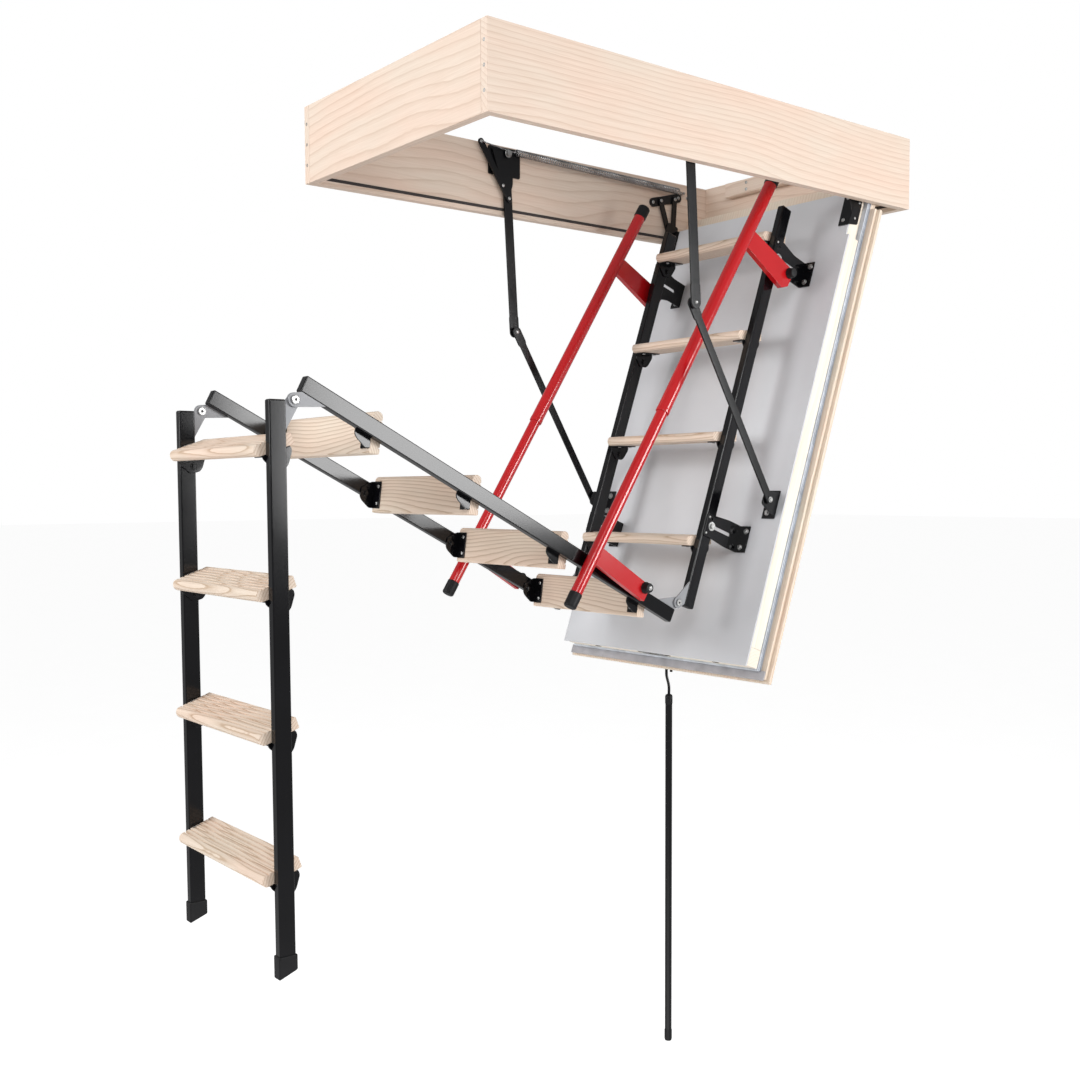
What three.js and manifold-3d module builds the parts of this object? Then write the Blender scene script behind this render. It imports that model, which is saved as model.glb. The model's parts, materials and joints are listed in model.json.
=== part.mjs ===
// Folding attic ladder: casing, insulated hatch, three folding sections, telescoping handrails,
// lazy arms with springs, and an operating rod. Millimetres, +X towards the hatch hinges, +Z up.
// The origin is the middle of the casing opening in the plane of the ceiling.
import * as THREE from "three";
import * as BufferGeometryUtils from "three/addons/utils/BufferGeometryUtils.js";
import Module from "manifold-3d";

const wasm = await Module();
wasm.setup();

// Casing
const CASING_LENGTH = 1285;
const CASING_WIDTH = 685;
const CASING_HEIGHT = 170;
const BOARD = 20;
const JOINT_GAP = 0.4;

// Hatch, in its own frame: s runs up the panel from its free edge, f stands off its inner face
const OPEN_ANGLE = 70.5;
const HATCH_FOOT = [86, -1078.7];
const FRAME_LENGTH = 1174;
const FRAME_HALF = 317;
const PANEL_THICKNESS = 4;
const FRAME_THICKNESS = 34;
const SEAL_THICKNESS = 13;
const OUTER_THICKNESS = 18;
const OUTER_HALF = CASING_WIDTH / 2;
const OUTER_START = -25;
const OUTER_WIDE_END = 1150;
const OUTER_END = 1234;

// Ladder
const LADDER_WIDTH = 405;
const STILE_DEPTH = 32;
const STILE_WIDTH = 18;
const STILE_WALL = 2;
const SECTION_1 = { start: 98, length: 998, front: 119 };
const SECTION_LENGTH = 1032;
const STILE_3_LENGTH = 1008;
const FOOT = { grip: 18, heel: 11, rim: 2.5 };
const FOLD_GAP = 37;
const BRACKET = { footLength: 64, footWidth: 33, sheet: 4 };
const SECTION_2_ANGLE = 152.7;
const SECTION_3_ANGLE = 270.2;
const TREAD_DEPTH = 80;
const TREAD_THICKNESS = 22;
const TREADS_1 = [160, 415, 670, 925];
const TREADS_2 = [88, 343, 598, 853];
const TREADS_3 = [79, 334, 589, 844];

// Handrails
const RAIL_OFFSET = 160;
const RAIL_Y = 222;
const RAIL_R = 15;
const RAIL_BORE = 13.6;
const LOWER_R = 12.8;
const LOWER_BORE = 10.8;
const ARM_THICKNESS = 14;
const PIVOT_1 = [936, 72];
const PIVOT_2 = [131, -4];

// Lazy arms
const ARM_PIVOT = [-97, 150];
const ELBOW = [-75, -287];
const ARM_SEAT = [380, 38.5];
const LINK_PIVOT = [437, 111];
const LINK_SEAT = [1176, 15];
const CRANK_END = [-179, 167];
const REBATE = { start: 1060, half: 309, depth: 30 };
const PIN_CLEARANCE = 0.4;
const UPPER_ARM_R = 11;
const LOWER_ARM_R = 8;
const ELBOW_R = 12;
const SPRING = { from: [-72, 156], to: [500, 144], radius: 9, bore: 6, y: 308 };

const group = new THREE.Group();

const FINISH = {
  pine: { color: 0xdcc3a0, roughness: 0.6, metalness: 0 },
  panel: { color: 0xc9cbcf, roughness: 0.5, metalness: 0 },
  seal: { color: 0x8d98a6, roughness: 0.7, metalness: 0 },
  black: { color: 0x15161a, roughness: 0.35, metalness: 0.3 },
  red: { color: 0xb90f14, roughness: 0.3, metalness: 0.2 },
  rubber: { color: 0x1b1b1d, roughness: 0.8, metalness: 0 },
  zinc: { color: 0xb9bcc0, roughness: 0.35, metalness: 0.8 },
};

const radians = (deg) => (deg * Math.PI) / 180;
const add = (p, q, k = 1) => [p[0] + q[0] * k, p[1] + q[1] * k];
const unit = (deg) => [Math.cos(radians(deg)), Math.sin(radians(deg))];

// A frame in the XZ plane: up along the given angle, front a quarter turn further round
function frameAt(origin, angle) {
  const up = unit(angle);
  const front = unit(angle + 90);
  const at = (s, f) => add(add(origin, up, s), front, f);
  return { angle, at };
}

const hatch = frameAt(HATCH_FOOT, OPEN_ANGLE);
const section1 = {
  angle: OPEN_ANGLE,
  at: (s, f) => hatch.at(SECTION_1.start + s, SECTION_1.front + f),
};
const pin12 = section1.at(2, FOLD_GAP / 2);
// Section 2's frame has s counted from hinge 12 and up pointing back to it
const section2 = frameAt(pin12, SECTION_2_ANGLE + 180);
section2.local = (s, f) => section2.at(-3 - s, f - FOLD_GAP / 2);
const pin23 = section2.local(SECTION_LENGTH + 2, -STILE_DEPTH - FOLD_GAP / 2);
const section3 = frameAt(pin23, SECTION_3_ANGLE + 180);
section3.local = (s, f) => section3.at(-0.5 - s, f + STILE_DEPTH + FOLD_GAP / 2);

function toSolid(geometry) {
  const bare = geometry.clone();
  bare.deleteAttribute("normal");
  bare.deleteAttribute("uv");
  const merged = BufferGeometryUtils.mergeVertices(bare, 1e-4);
  const mesh = new wasm.Mesh({
    numProp: 3,
    vertProperties: new Float32Array(merged.attributes.position.array),
    triVerts: new Uint32Array(merged.index.array),
  });
  return new wasm.Manifold(mesh);
}

function fromSolid(solid) {
  const mesh = solid.getMesh();
  const geometry = new THREE.BufferGeometry();
  geometry.setAttribute("position", new THREE.BufferAttribute(new Float32Array(mesh.vertProperties), 3));
  geometry.setIndex(new THREE.BufferAttribute(new Uint32Array(mesh.triVerts), 1));
  geometry.computeVertexNormals();
  return geometry;
}

function union(...parts) {
  return parts.reduce((whole, part) => whole.add(part));
}

// A plate outlined in the XZ plane, filling y from y0 to y1
function plate(outline, y0, y1, holes = []) {
  const shape = new THREE.Shape(outline.map((p) => new THREE.Vector2(p[0], p[1])));
  for (const hole of holes) {
    const path = new THREE.Path();
    path.absarc(hole.at[0], hole.at[1], hole.r, 0, Math.PI * 2, true);
    shape.holes.push(path);
  }
  const geometry = new THREE.ExtrudeGeometry(shape, {
    depth: y1 - y0,
    bevelEnabled: false,
    curveSegments: 10,
  });
  geometry.rotateX(Math.PI / 2);
  geometry.translate(0, y1, 0);
  return toSolid(geometry);
}

function block(x0, x1, y0, y1, z0, z1) {
  const geometry = new THREE.BoxGeometry(x1 - x0, y1 - y0, z1 - z0);
  geometry.translate((x0 + x1) / 2, (y0 + y1) / 2, (z0 + z1) / 2);
  return toSolid(geometry);
}

// A rectangle in a frame's own (s, f) coordinates
const rectangle = (at, s0, s1, f0, f1) => [at(s0, f0), at(s1, f0), at(s1, f1), at(s0, f1)];

// A round bar along Y
function barY(centre, radius, y0, y1, segments = 20) {
  const geometry = new THREE.CylinderGeometry(radius, radius, y1 - y0, segments);
  geometry.translate(centre[0], (y0 + y1) / 2, centre[1]);
  return toSolid(geometry);
}

// A round bar or tube between two points of the XZ plane, at a given y
function barBetween(from, to, y, radius, bore = 0, segments = 28) {
  const length = Math.hypot(to[0] - from[0], to[1] - from[1]);
  const outer = toSolid(new THREE.CylinderGeometry(radius, radius, length, segments));
  const solid = bore
    ? outer.subtract(toSolid(new THREE.CylinderGeometry(bore, bore, length + 2, segments)))
    : outer;
  const slope = Math.atan2(to[1] - from[1], to[0] - from[0]);
  return solid
    .rotate([90, 90 - (slope * 180) / Math.PI, 0])
    .translate([(from[0] + to[0]) / 2, y, (from[1] + to[1]) / 2]);
}

// The outline of a bar with round ends
function barOutline(from, to, radius, steps = 8) {
  const slope = Math.atan2(to[1] - from[1], to[0] - from[0]);
  const points = [];
  for (const [centre, start] of [[to, slope - Math.PI / 2], [from, slope + Math.PI / 2]]) {
    for (let i = 0; i <= steps; i += 1) {
      const a = start + (Math.PI * i) / steps;
      points.push([centre[0] + radius * Math.cos(a), centre[1] + radius * Math.sin(a)]);
    }
  }
  return points;
}

function put(name, solid, finish) {
  const mesh = new THREE.Mesh(fromSolid(solid), new THREE.MeshStandardMaterial(FINISH[finish]));
  mesh.name = name;
  group.add(mesh);
}

// Both sides of the ladder are alike: side is -1 for near and +1 for far
const SIDES = [["near", -1], ["far", 1]];
const span = (side, inner, outer) => (side < 0 ? [-outer, -inner] : [inner, outer]);

// Casing boards
const halfLength = CASING_LENGTH / 2;
const halfWidth = CASING_WIDTH / 2;
for (const [label, side] of SIDES) {
  const [y0, y1] = span(side, halfWidth - BOARD, halfWidth);
  put(`casing_board_${label}`, block(-halfLength, halfLength, y0, y1, 0, CASING_HEIGHT), "pine");
}
const endHalf = halfWidth - BOARD - JOINT_GAP;
const keeper = block(-halfLength + 6, -halfLength + BOARD + 1, -22, 22, 18, 46);
put(
  "casing_board_free_end",
  block(-halfLength, -halfLength + BOARD, -endHalf, endHalf, 0, CASING_HEIGHT).subtract(keeper),
  "pine",
);
put(
  "casing_board_hinge_end",
  block(halfLength - BOARD, halfLength, -endHalf, endHalf, 0, CASING_HEIGHT),
  "pine",
);

// Casing plates, links and lazy arms. The link's lower pivot and the arms' elbow are where the
// closed linkages are opened: the pin stays on one piece and stops short of the other.
const boardFace = halfWidth - BOARD - JOINT_GAP;
const armSeat = hatch.at(...ARM_SEAT);
const linkSeat = hatch.at(...LINK_SEAT);
const CASING_PLATE_Y = [boardFace - 4, boardFace];
const UPPER_ARM_Y = [312.6, 317.4];
const CRANK_Y = [307.6, 312.8];
const LOWER_ARM_Y = [302.2, 307.2];
const ARM_BRACKET_Y = [295, 299];
const LINK_Y = [313, 317.4];
const SIDE_LEG_Y = [REBATE.half + JOINT_GAP, REBATE.half + 3];
const ELBOW_BOSS_Y = [LOWER_ARM_Y[1] + PIN_CLEARANCE, UPPER_ARM_Y[0] + 0.2];

function armPlate(y) {
  const mount = [[-150, 96], [-60, 96], [-52, 104], [-52, 158], [-60, 166], [-150, 166]];
  return union(plate(mount, ...y(...CASING_PLATE_Y)), barY(ARM_PIVOT, 5, ...y(306, boardFace - 3)));
}

function hingePlate(y) {
  const along = unit(14);
  const outline = barOutline(add(LINK_PIVOT, along, -26), add(LINK_PIVOT, along, 74), 12);
  return union(plate(outline, ...y(...CASING_PLATE_Y)), barY(LINK_PIVOT, 4, ...y(311.5, boardFace - 3)));
}

function hingeLink(y) {
  const bar = plate(barOutline(LINK_PIVOT, linkSeat, 8), ...y(...LINK_Y), [{ at: LINK_PIVOT, r: 4.4 }]);
  return bar.add(barY(linkSeat, 5, ...y(SIDE_LEG_Y[1] + PIN_CLEARANCE, 318.5)));
}

// An angle plate round the hatch's corner: one leg on the inner face, the other in the rebate
function hingeBracket(y) {
  const sideLeg = [
    hatch.at(1085, 3.4), hatch.at(1098, -28), hatch.at(1150, -28), hatch.at(1196, -14),
    hatch.at(1196, 20), hatch.at(1186, 26), hatch.at(1160, 26), hatch.at(1120, 3.4),
  ];
  const faceLeg = rectangle(hatch.at, 1085, 1172, JOINT_GAP, 3.4);
  return union(plate(sideLeg, ...y(...SIDE_LEG_Y)), plate(faceLeg, ...y(281, SIDE_LEG_Y[1])));
}

function upperArm(y) {
  const head = [
    add(ARM_PIVOT, [-46, 8]), add(ARM_PIVOT, [18, 8]), add(ARM_PIVOT, [18, -72]),
    add(ARM_PIVOT, [13, -90]), add(ARM_PIVOT, [-12, -90]),
  ];
  return union(
    plate(head, ...y(...UPPER_ARM_Y)),
    plate(barOutline(add(ARM_PIVOT, [0, -60]), ELBOW, UPPER_ARM_R), ...y(...UPPER_ARM_Y)),
    plate(barOutline(add(ELBOW, [-1.7, 34]), ELBOW, ELBOW_R), ...y(...UPPER_ARM_Y)),
    plate(barOutline(CRANK_END, [-93, 39], 8), ...y(...CRANK_Y)),
    barY(ELBOW, 6, ...y(...ELBOW_BOSS_Y)),
  ).subtract(barY(ARM_PIVOT, 5.4, ...y(300, 320)));
}

function lowerArm(y) {
  return union(
    plate(barOutline(ELBOW, armSeat, LOWER_ARM_R), ...y(...LOWER_ARM_Y)),
    plate(barOutline(ELBOW, add(ELBOW, [15, -26]), ELBOW_R), ...y(...LOWER_ARM_Y)),
  ).subtract(barY(armSeat, 5.4, ...y(300, 310)));
}

function armBracket(y) {
  const saddle = [
    hatch.at(352, JOINT_GAP), hatch.at(408, JOINT_GAP), hatch.at(396, 50), hatch.at(364, 50),
  ];
  return union(
    plate(saddle, ...y(...ARM_BRACKET_Y)),
    plate(rectangle(hatch.at, 346, 414, JOINT_GAP, 4.4), ...y(262, 296)),
    barY(armSeat, 5, ...y(298, 309)),
  );
}

for (const [label, side] of SIDES) {
  const y = (inner, outer) => span(side, inner, outer);
  put(`arm_plate_${label}`, armPlate(y), "black");
  put(`hinge_plate_${label}`, hingePlate(y), "black");
  put(`hinge_link_${label}`, hingeLink(y), "black");
  put(`hinge_bracket_${label}`, hingeBracket(y), "black");
  put(`arm_upper_${label}`, upperArm(y), "black");
  put(`arm_lower_${label}`, lowerArm(y), "black");
  put(`arm_bracket_${label}`, armBracket(y), "black");
}

// Springs: each is a tight coil, given here as the thin tube that its turns fill
for (const [label, side] of SIDES) {
  const coil = barBetween(SPRING.from, SPRING.to, side * SPRING.y, SPRING.radius, SPRING.bore, 16);
  put(`spring_${label}`, coil, "zinc");
}

// Hatch
const panelBottom = -PANEL_THICKNESS;
const frameTop = panelBottom - JOINT_GAP;
const frameBottom = frameTop - FRAME_THICKNESS;
const sealTop = frameBottom - JOINT_GAP;
const sealBottom = sealTop - SEAL_THICKNESS;
const outerTop = sealBottom - JOINT_GAP;
const outerBottom = outerTop - OUTER_THICKNESS;
const rebateOutline = rectangle(hatch.at, REBATE.start, FRAME_LENGTH + 1, -REBATE.depth, 1);
const rebates = union(
  plate(rebateOutline, REBATE.half, FRAME_HALF + 1),
  plate(rebateOutline, -FRAME_HALF - 1, -REBATE.half),
);
put(
  "hatch_inner_panel",
  plate(rectangle(hatch.at, 0, FRAME_LENGTH, panelBottom, 0), -FRAME_HALF, FRAME_HALF).subtract(rebates),
  "panel",
);
const boltPocket = plate(rectangle(hatch.at, -1, 46, -31, -13), -17, 17);
put(
  "hatch_frame",
  plate(rectangle(hatch.at, 2, FRAME_LENGTH, frameBottom, frameTop), -FRAME_HALF, FRAME_HALF)
    .subtract(rebates)
    .subtract(boltPocket),
  "pine",
);
put(
  "hatch_seal",
  plate(rectangle(hatch.at, -2, FRAME_LENGTH + 20, sealBottom, sealTop), -FRAME_HALF - 3, FRAME_HALF + 3),
  "seal",
);
put(
  "hatch_outer_panel",
  union(
    plate(rectangle(hatch.at, OUTER_START, OUTER_WIDE_END, outerBottom, outerTop), -OUTER_HALF, OUTER_HALF),
    plate(rectangle(hatch.at, OUTER_START, OUTER_END, outerBottom, outerTop), -FRAME_HALF, FRAME_HALF),
  ),
  "pine",
);

// Latch: a bolt in the free edge, and a plate on the outer face with an eye for the rod's hook
const BOLT_LENGTH = 27;
put("latch_bolt", plate(rectangle(hatch.at, 3, 3 + BOLT_LENGTH, -29, -15), -15, 15), "zinc");
const eye = hatch.at(-12, outerBottom - 12);
const eyePlate = rectangle(hatch.at, -22, 30, outerBottom - 3.4, outerBottom - JOINT_GAP);
const lug = rectangle(hatch.at, -21, -3, outerBottom - 12, outerBottom - 3);
put(
  "latch_plate",
  union(plate(eyePlate, -20, 20), plate(lug, -1.5, 1.5), barY(eye, 9, -1.5, 1.5))
    .subtract(barY(eye, 4.8, -5, 5)),
  "black",
);

// Operating rod: a tube with a bent wire hook through the eye
const ROD = { radius: 8.5, top: -1192, bottom: -2067, wire: 3.4, bend: 8 };
const hookTurns = [];
for (let i = 0; i <= 6; i += 1) {
  const a = Math.PI - (Math.PI * i) / 6;
  hookTurns.push([ROD.bend * Math.cos(a), ROD.bend * (Math.sin(a) - 1)]);
}
const hookPoints = [[-ROD.bend, -16], ...hookTurns, [ROD.bend, -26], [0, -52], [0, ROD.top - 4 - eye[1]]];
const hookCurve = new THREE.CatmullRomCurve3(
  hookPoints.map(([y, z]) => new THREE.Vector3(eye[0], y, eye[1] + z)),
  false,
  "centripetal",
);
const wireShape = new THREE.Shape();
wireShape.absarc(0, 0, ROD.wire, 0, Math.PI * 2, false);
const hookGeometry = new THREE.ExtrudeGeometry(wireShape, {
  steps: 40,
  curveSegments: 8,
  extrudePath: hookCurve,
});
const rodTube = barBetween([eye[0], ROD.bottom], [eye[0], ROD.top], 0, ROD.radius);
put("operating_rod", union(toSolid(hookGeometry), rodTube), "black");

// Sections
const half = LADDER_WIDTH / 2;
const treadAcross = half - STILE_WIDTH - 1;

// Where s runs up the ladder in use, rising is 1; where it runs down, rising is -1
const SECTIONS = [
  { number: 1, at: section1.at, rising: 1, length: SECTION_1.length, treads: TREADS_1 },
  { number: 2, at: section2.local, rising: -1, length: SECTION_LENGTH, treads: TREADS_2 },
  { number: 3, at: section3.local, rising: -1, length: STILE_3_LENGTH, treads: TREADS_3 },
];

// A point of the tread at s: along to its front edge, rise to its top when the ladder is in use
function treadPoint(section, s, along, rise) {
  const [cosine, sine] = unit(OPEN_ANGLE);
  const ds = sine * rise - cosine * along;
  const df = sine * along + cosine * rise;
  return section.at(s + section.rising * ds, -STILE_DEPTH / 2 + df);
}

function treadOutline(section, s) {
  const front = TREAD_DEPTH / 2;
  const top = TREAD_THICKNESS / 2;
  const nose = top * 0.7;
  const points = [[-front, -top]];
  for (let i = 0; i <= 6; i += 1) {
    const a = -Math.PI / 2 + (Math.PI * i) / 6;
    points.push([front - nose + nose * Math.cos(a), top * Math.sin(a)]);
  }
  points.push([-front, top]);
  return points.map(([along, rise]) => treadPoint(section, s, along, rise));
}

// Triangular ear and folded tab that carry one end of a tread
function treadBracket(section, s, side) {
  const under = -TREAD_THICKNESS / 2 - JOINT_GAP;
  const y = (inner, outer) => span(side, inner, outer);
  const ear = [[-30, under], [26, under], [12, under - 34], [-12, under - 34]];
  const tab = [[-30, under - 3], [26, under - 3], [26, under], [-30, under]];
  const place = (points) => points.map(([along, rise]) => treadPoint(section, s, along, rise));
  return union(
    plate(place(ear), ...y(half - STILE_WIDTH - 3, half - STILE_WIDTH + 1)),
    plate(place(tab), ...y(half - STILE_WIDTH - 32, half - STILE_WIDTH)),
  );
}

// Hinge ear from the stile's face to a pin
function hingeEar(root, pin, y0, y1) {
  const whole = union(plate(root, y0, y1), barY(pin, EAR_R, y0, y1));
  return whole.subtract(barY(pin, 4.3, y0 - 1, y1 + 1));
}

// A section's tube on one side, with its tread brackets
function stile(section, side) {
  const y = (inner, outer) => span(side, inner, outer);
  const outer = plate(
    rectangle(section.at, 0, section.length, -STILE_DEPTH, 0),
    ...y(half - STILE_WIDTH, half),
  );
  const bore = plate(
    rectangle(section.at, -1, section.length + 1, -STILE_DEPTH + STILE_WALL, -STILE_WALL),
    ...y(half - STILE_WIDTH + STILE_WALL, half - STILE_WALL),
  );
  return union(
    outer.subtract(bore),
    ...section.treads.map((s) => treadBracket(section, s, side)),
  );
}

// Bracket between section 1 and the hatch: a slotted side plate with a folded foot
function mountBracket(s, low, high, side) {
  const y = (inner, outer) => span(side, inner, outer);
  const foot = BRACKET.footLength / 2;
  const web = [
    hatch.at(s - foot, JOINT_GAP), hatch.at(s + foot, JOINT_GAP), hatch.at(s + foot, 45),
    hatch.at(s + high, 92), hatch.at(s + high, 117), hatch.at(s - low, 117),
    hatch.at(s - low, 92), hatch.at(s - foot, 45),
  ];
  const slot = plate(rectangle(hatch.at, s - 4, s + 4, 34, 78), ...y(half - 1, half + 6));
  return union(
    plate(web, ...y(half - 0.6, half + BRACKET.sheet - 0.6)).subtract(slot),
    plate(
      rectangle(hatch.at, s - foot, s + foot, JOINT_GAP, JOINT_GAP + BRACKET.sheet),
      ...y(half + 2, half + BRACKET.footWidth),
    ),
  );
}

const EAR_R = 11;
const EAR_OUT = [half - 4.5, half - 1];
const EAR_IN = [half - 9, half - 5.5];
const [first, second, third] = SECTIONS;
const foldMiddle = FOLD_GAP / 2;
const backMiddle = -STILE_DEPTH - foldMiddle;
const EARS = {
  first12: [first.at(6, -1), first.at(56, -1), first.at(12, foldMiddle + 6), first.at(2, foldMiddle + 10)],
  second12: [
    second.at(6, -1), second.at(56, -1),
    second.at(12, foldMiddle + 6), second.at(0, foldMiddle + 10),
  ],
  second23: [
    second.at(SECTION_LENGTH - 56, 1 - STILE_DEPTH), second.at(SECTION_LENGTH - 6, 1 - STILE_DEPTH),
    second.at(SECTION_LENGTH, backMiddle - 10), second.at(SECTION_LENGTH - 12, backMiddle - 6),
  ],
  third23: [
    third.at(6, 1 - STILE_DEPTH), third.at(56, 1 - STILE_DEPTH),
    third.at(12, backMiddle - 6), third.at(0, backMiddle - 10),
  ],
};
for (const [label, side] of SIDES) {
  const y = (pair) => span(side, pair[0], pair[1]);
  put(
    `section_1_stile_${label}`,
    union(
      stile(first, side),
      hingeEar(EARS.first12, pin12, ...y(EAR_OUT)),
      mountBracket(967, 46, 44, side),
      mountBracket(294, 27, 27, side),
    ).subtract(barY(hatch.at(...PIVOT_1), 5.4, ...span(side, half - 2, half + 6))),
    "black",
  );
  put(
    `section_2_stile_${label}`,
    union(
      stile(second, side),
      hingeEar(EARS.second12, pin12, ...y(EAR_IN)),
      hingeEar(EARS.second23, pin23, ...y(EAR_OUT)),
    ),
    "black",
  );
  put(
    `section_3_stile_${label}`,
    union(stile(third, side), hingeEar(EARS.third23, pin23, ...y(EAR_IN))),
    "black",
  );

  const soleRise = (STILE_DEPTH + 2 * FOOT.rim) * Math.tan(radians(90 - OPEN_ANGLE));
  const footTop = STILE_3_LENGTH - FOOT.grip;
  const heel = STILE_3_LENGTH + FOOT.heel;
  const foot = [
    third.at(footTop, FOOT.rim), third.at(footTop, -STILE_DEPTH - FOOT.rim),
    third.at(heel, -STILE_DEPTH - FOOT.rim), third.at(heel + soleRise, FOOT.rim),
  ];
  const socket = plate(
    rectangle(third.at, footTop - 1, STILE_3_LENGTH + JOINT_GAP, -STILE_DEPTH - JOINT_GAP, JOINT_GAP),
    ...span(side, half - STILE_WIDTH - JOINT_GAP, half + JOINT_GAP),
  );
  put(
    `foot_${label}`,
    plate(foot, ...span(side, half - STILE_WIDTH - FOOT.rim, half + FOOT.rim)).subtract(socket),
    "rubber",
  );

  for (const [number, pin] of [["12", pin12], ["23", pin23]]) {
    put(
      `hinge_${number}_pin_${label}`,
      union(
        barY(pin, 4, ...span(side, half - 12, half + 3)),
        barY(pin, 7, ...span(side, half - 0.6, half + 3)),
        barY(pin, 7, ...span(side, half - 13, half - 9.4)),
      ),
      "zinc",
    );
  }
}
for (const section of SECTIONS) {
  section.treads.forEach((s, index) => {
    const board = plate(treadOutline(section, s), -treadAcross, treadAcross);
    put(`section_${section.number}_tread_${index + 1}`, board, "pine");
  });
}

// Handrails
const post1 = hatch.at(...PIVOT_1);
const post2 = second.at(...PIVOT_2);
const railSlope = (Math.atan2(post1[1] - post2[1], post1[0] - post2[0]) * 180) / Math.PI;
const rail = frameAt(post2, railSlope);
const reach = Math.hypot(post1[0] - post2[0], post1[1] - post2[1]);
const UPPER = { from: 350, to: 1030 };
const LOWER = { from: -140, to: 545 };
for (const [label, side] of SIDES) {
  const y = (inner, outer) => span(side, inner, outer);
  const armY = y(RAIL_Y - ARM_THICKNESS / 2, RAIL_Y + ARM_THICKNESS / 2);
  const upperArm = [
    rail.at(reach - 43, RAIL_OFFSET - 6), rail.at(reach + 4, RAIL_OFFSET - 6),
    rail.at(reach + 15, -6), rail.at(reach + 6, -13), rail.at(reach - 30, -13), rail.at(reach - 45, 2),
  ];
  const tube = (from, to, radius, bore) =>
    barBetween(rail.at(from, RAIL_OFFSET), rail.at(to, RAIL_OFFSET), side * RAIL_Y, radius, bore);
  const upperBore = tube(300, 1100, RAIL_BORE);
  put(
    `rail_upper_${label}`,
    union(
      tube(UPPER.from, UPPER.to, RAIL_R),
      plate(upperArm, ...armY),
    ).subtract(upperBore).subtract(barY(post1, 5.4, ...y(RAIL_Y - 10, RAIL_Y + 10))),
    "red",
  );
  const lowerArm = [
    rail.at(-30, RAIL_OFFSET - 6), rail.at(10, RAIL_OFFSET - 6),
    rail.at(11, -8), rail.at(4, -13), rail.at(-20, -13), rail.at(-27, -8),
  ];
  put(
    `rail_lower_${label}`,
    union(
      tube(LOWER.from, LOWER.to, LOWER_R, LOWER_BORE),
      plate(lowerArm, ...armY).subtract(tube(-200, 200, LOWER_BORE)),
      barY(post2, 12, ...y(half + 0.6, RAIL_Y)),
      barY(post2, 13, ...y(RAIL_Y, RAIL_Y + 22)),
    ),
    "red",
  );
  put(`rail_guide_${label}`, tube(LOWER.to + 1, LOWER.to + 31, 13), "rubber");
  put(
    `rail_knob_${label}`,
    union(
      barY(post1, 5, ...y(half + 0.4, RAIL_Y + 12)),
      barY(post1, 10, ...y(half + 4, RAIL_Y - ARM_THICKNESS / 2 - 0.4)),
      barY(post1, 13, ...y(RAIL_Y + ARM_THICKNESS / 2 + 0.4, RAIL_Y + 24)),
    ),
    "rubber",
  );
}

export default group;
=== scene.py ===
"""Folding attic ladder: detailed pieces, procedural materials, studio and camera.

Lengths are millimetres until a mesh is made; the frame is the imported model's (+X to the hatch
hinges, +Z up, origin in the middle of the casing in the ceiling plane).
"""
import json
from math import atan2, cos, degrees, hypot, pi, radians, sin, tan

import bmesh
import bpy
from mathutils import Matrix, Vector


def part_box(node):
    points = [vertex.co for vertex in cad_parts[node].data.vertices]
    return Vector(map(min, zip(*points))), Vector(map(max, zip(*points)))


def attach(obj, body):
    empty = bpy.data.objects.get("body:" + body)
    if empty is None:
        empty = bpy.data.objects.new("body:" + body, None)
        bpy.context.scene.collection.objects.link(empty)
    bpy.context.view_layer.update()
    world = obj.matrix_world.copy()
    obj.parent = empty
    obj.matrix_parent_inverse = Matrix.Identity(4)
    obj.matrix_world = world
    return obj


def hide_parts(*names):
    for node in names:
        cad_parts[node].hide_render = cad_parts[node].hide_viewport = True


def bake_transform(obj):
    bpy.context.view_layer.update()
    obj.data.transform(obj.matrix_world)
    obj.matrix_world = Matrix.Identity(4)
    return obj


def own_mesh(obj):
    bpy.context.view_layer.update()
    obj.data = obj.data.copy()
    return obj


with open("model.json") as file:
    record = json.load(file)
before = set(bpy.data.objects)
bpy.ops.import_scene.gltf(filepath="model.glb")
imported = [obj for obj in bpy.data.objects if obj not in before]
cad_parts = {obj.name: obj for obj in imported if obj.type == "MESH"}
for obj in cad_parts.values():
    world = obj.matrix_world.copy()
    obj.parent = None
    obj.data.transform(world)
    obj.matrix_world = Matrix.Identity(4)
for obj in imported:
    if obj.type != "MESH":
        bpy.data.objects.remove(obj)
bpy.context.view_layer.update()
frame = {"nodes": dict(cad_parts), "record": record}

MM = 0.001
JOINT = {j["name"]: j for j in frame["record"]["behaviour"]["joints"]}
SIDES = (("near", -1), ("far", 1))


def pivot(joint):
    """A hinge's place in the XZ plane, in millimetres."""
    x, _, z = JOINT[joint]["pos_m"]
    return (x / MM, z / MM)


# ---------------------------------------------------------------- planar frames

class Flat:
    """A frame in the XZ plane: s runs along its angle, f a quarter turn further round."""

    def __init__(self, origin, angle):
        self.origin = origin
        self.angle = angle
        a = radians(angle)
        self.u = (cos(a), sin(a))
        self.n = (-sin(a), cos(a))

    def at(self, s, f):
        return (
            self.origin[0] + self.u[0] * s + self.n[0] * f,
            self.origin[1] + self.u[1] * s + self.n[1] * f,
        )

    def moved(self, s, f, flip=1):
        """The same directions from another origin; flip=-1 counts s the other way."""
        other = Flat(self.at(s, f), self.angle)
        other.u = (self.u[0] * flip, self.u[1] * flip)
        return other


OPEN_ANGLE = 70.5
FOLD_GAP = 37
STILE_DEPTH = 32
STILE_WIDTH = 18
HALF = 202.5
SECTION_1_START = 98
STAND_OFF = 119

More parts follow.
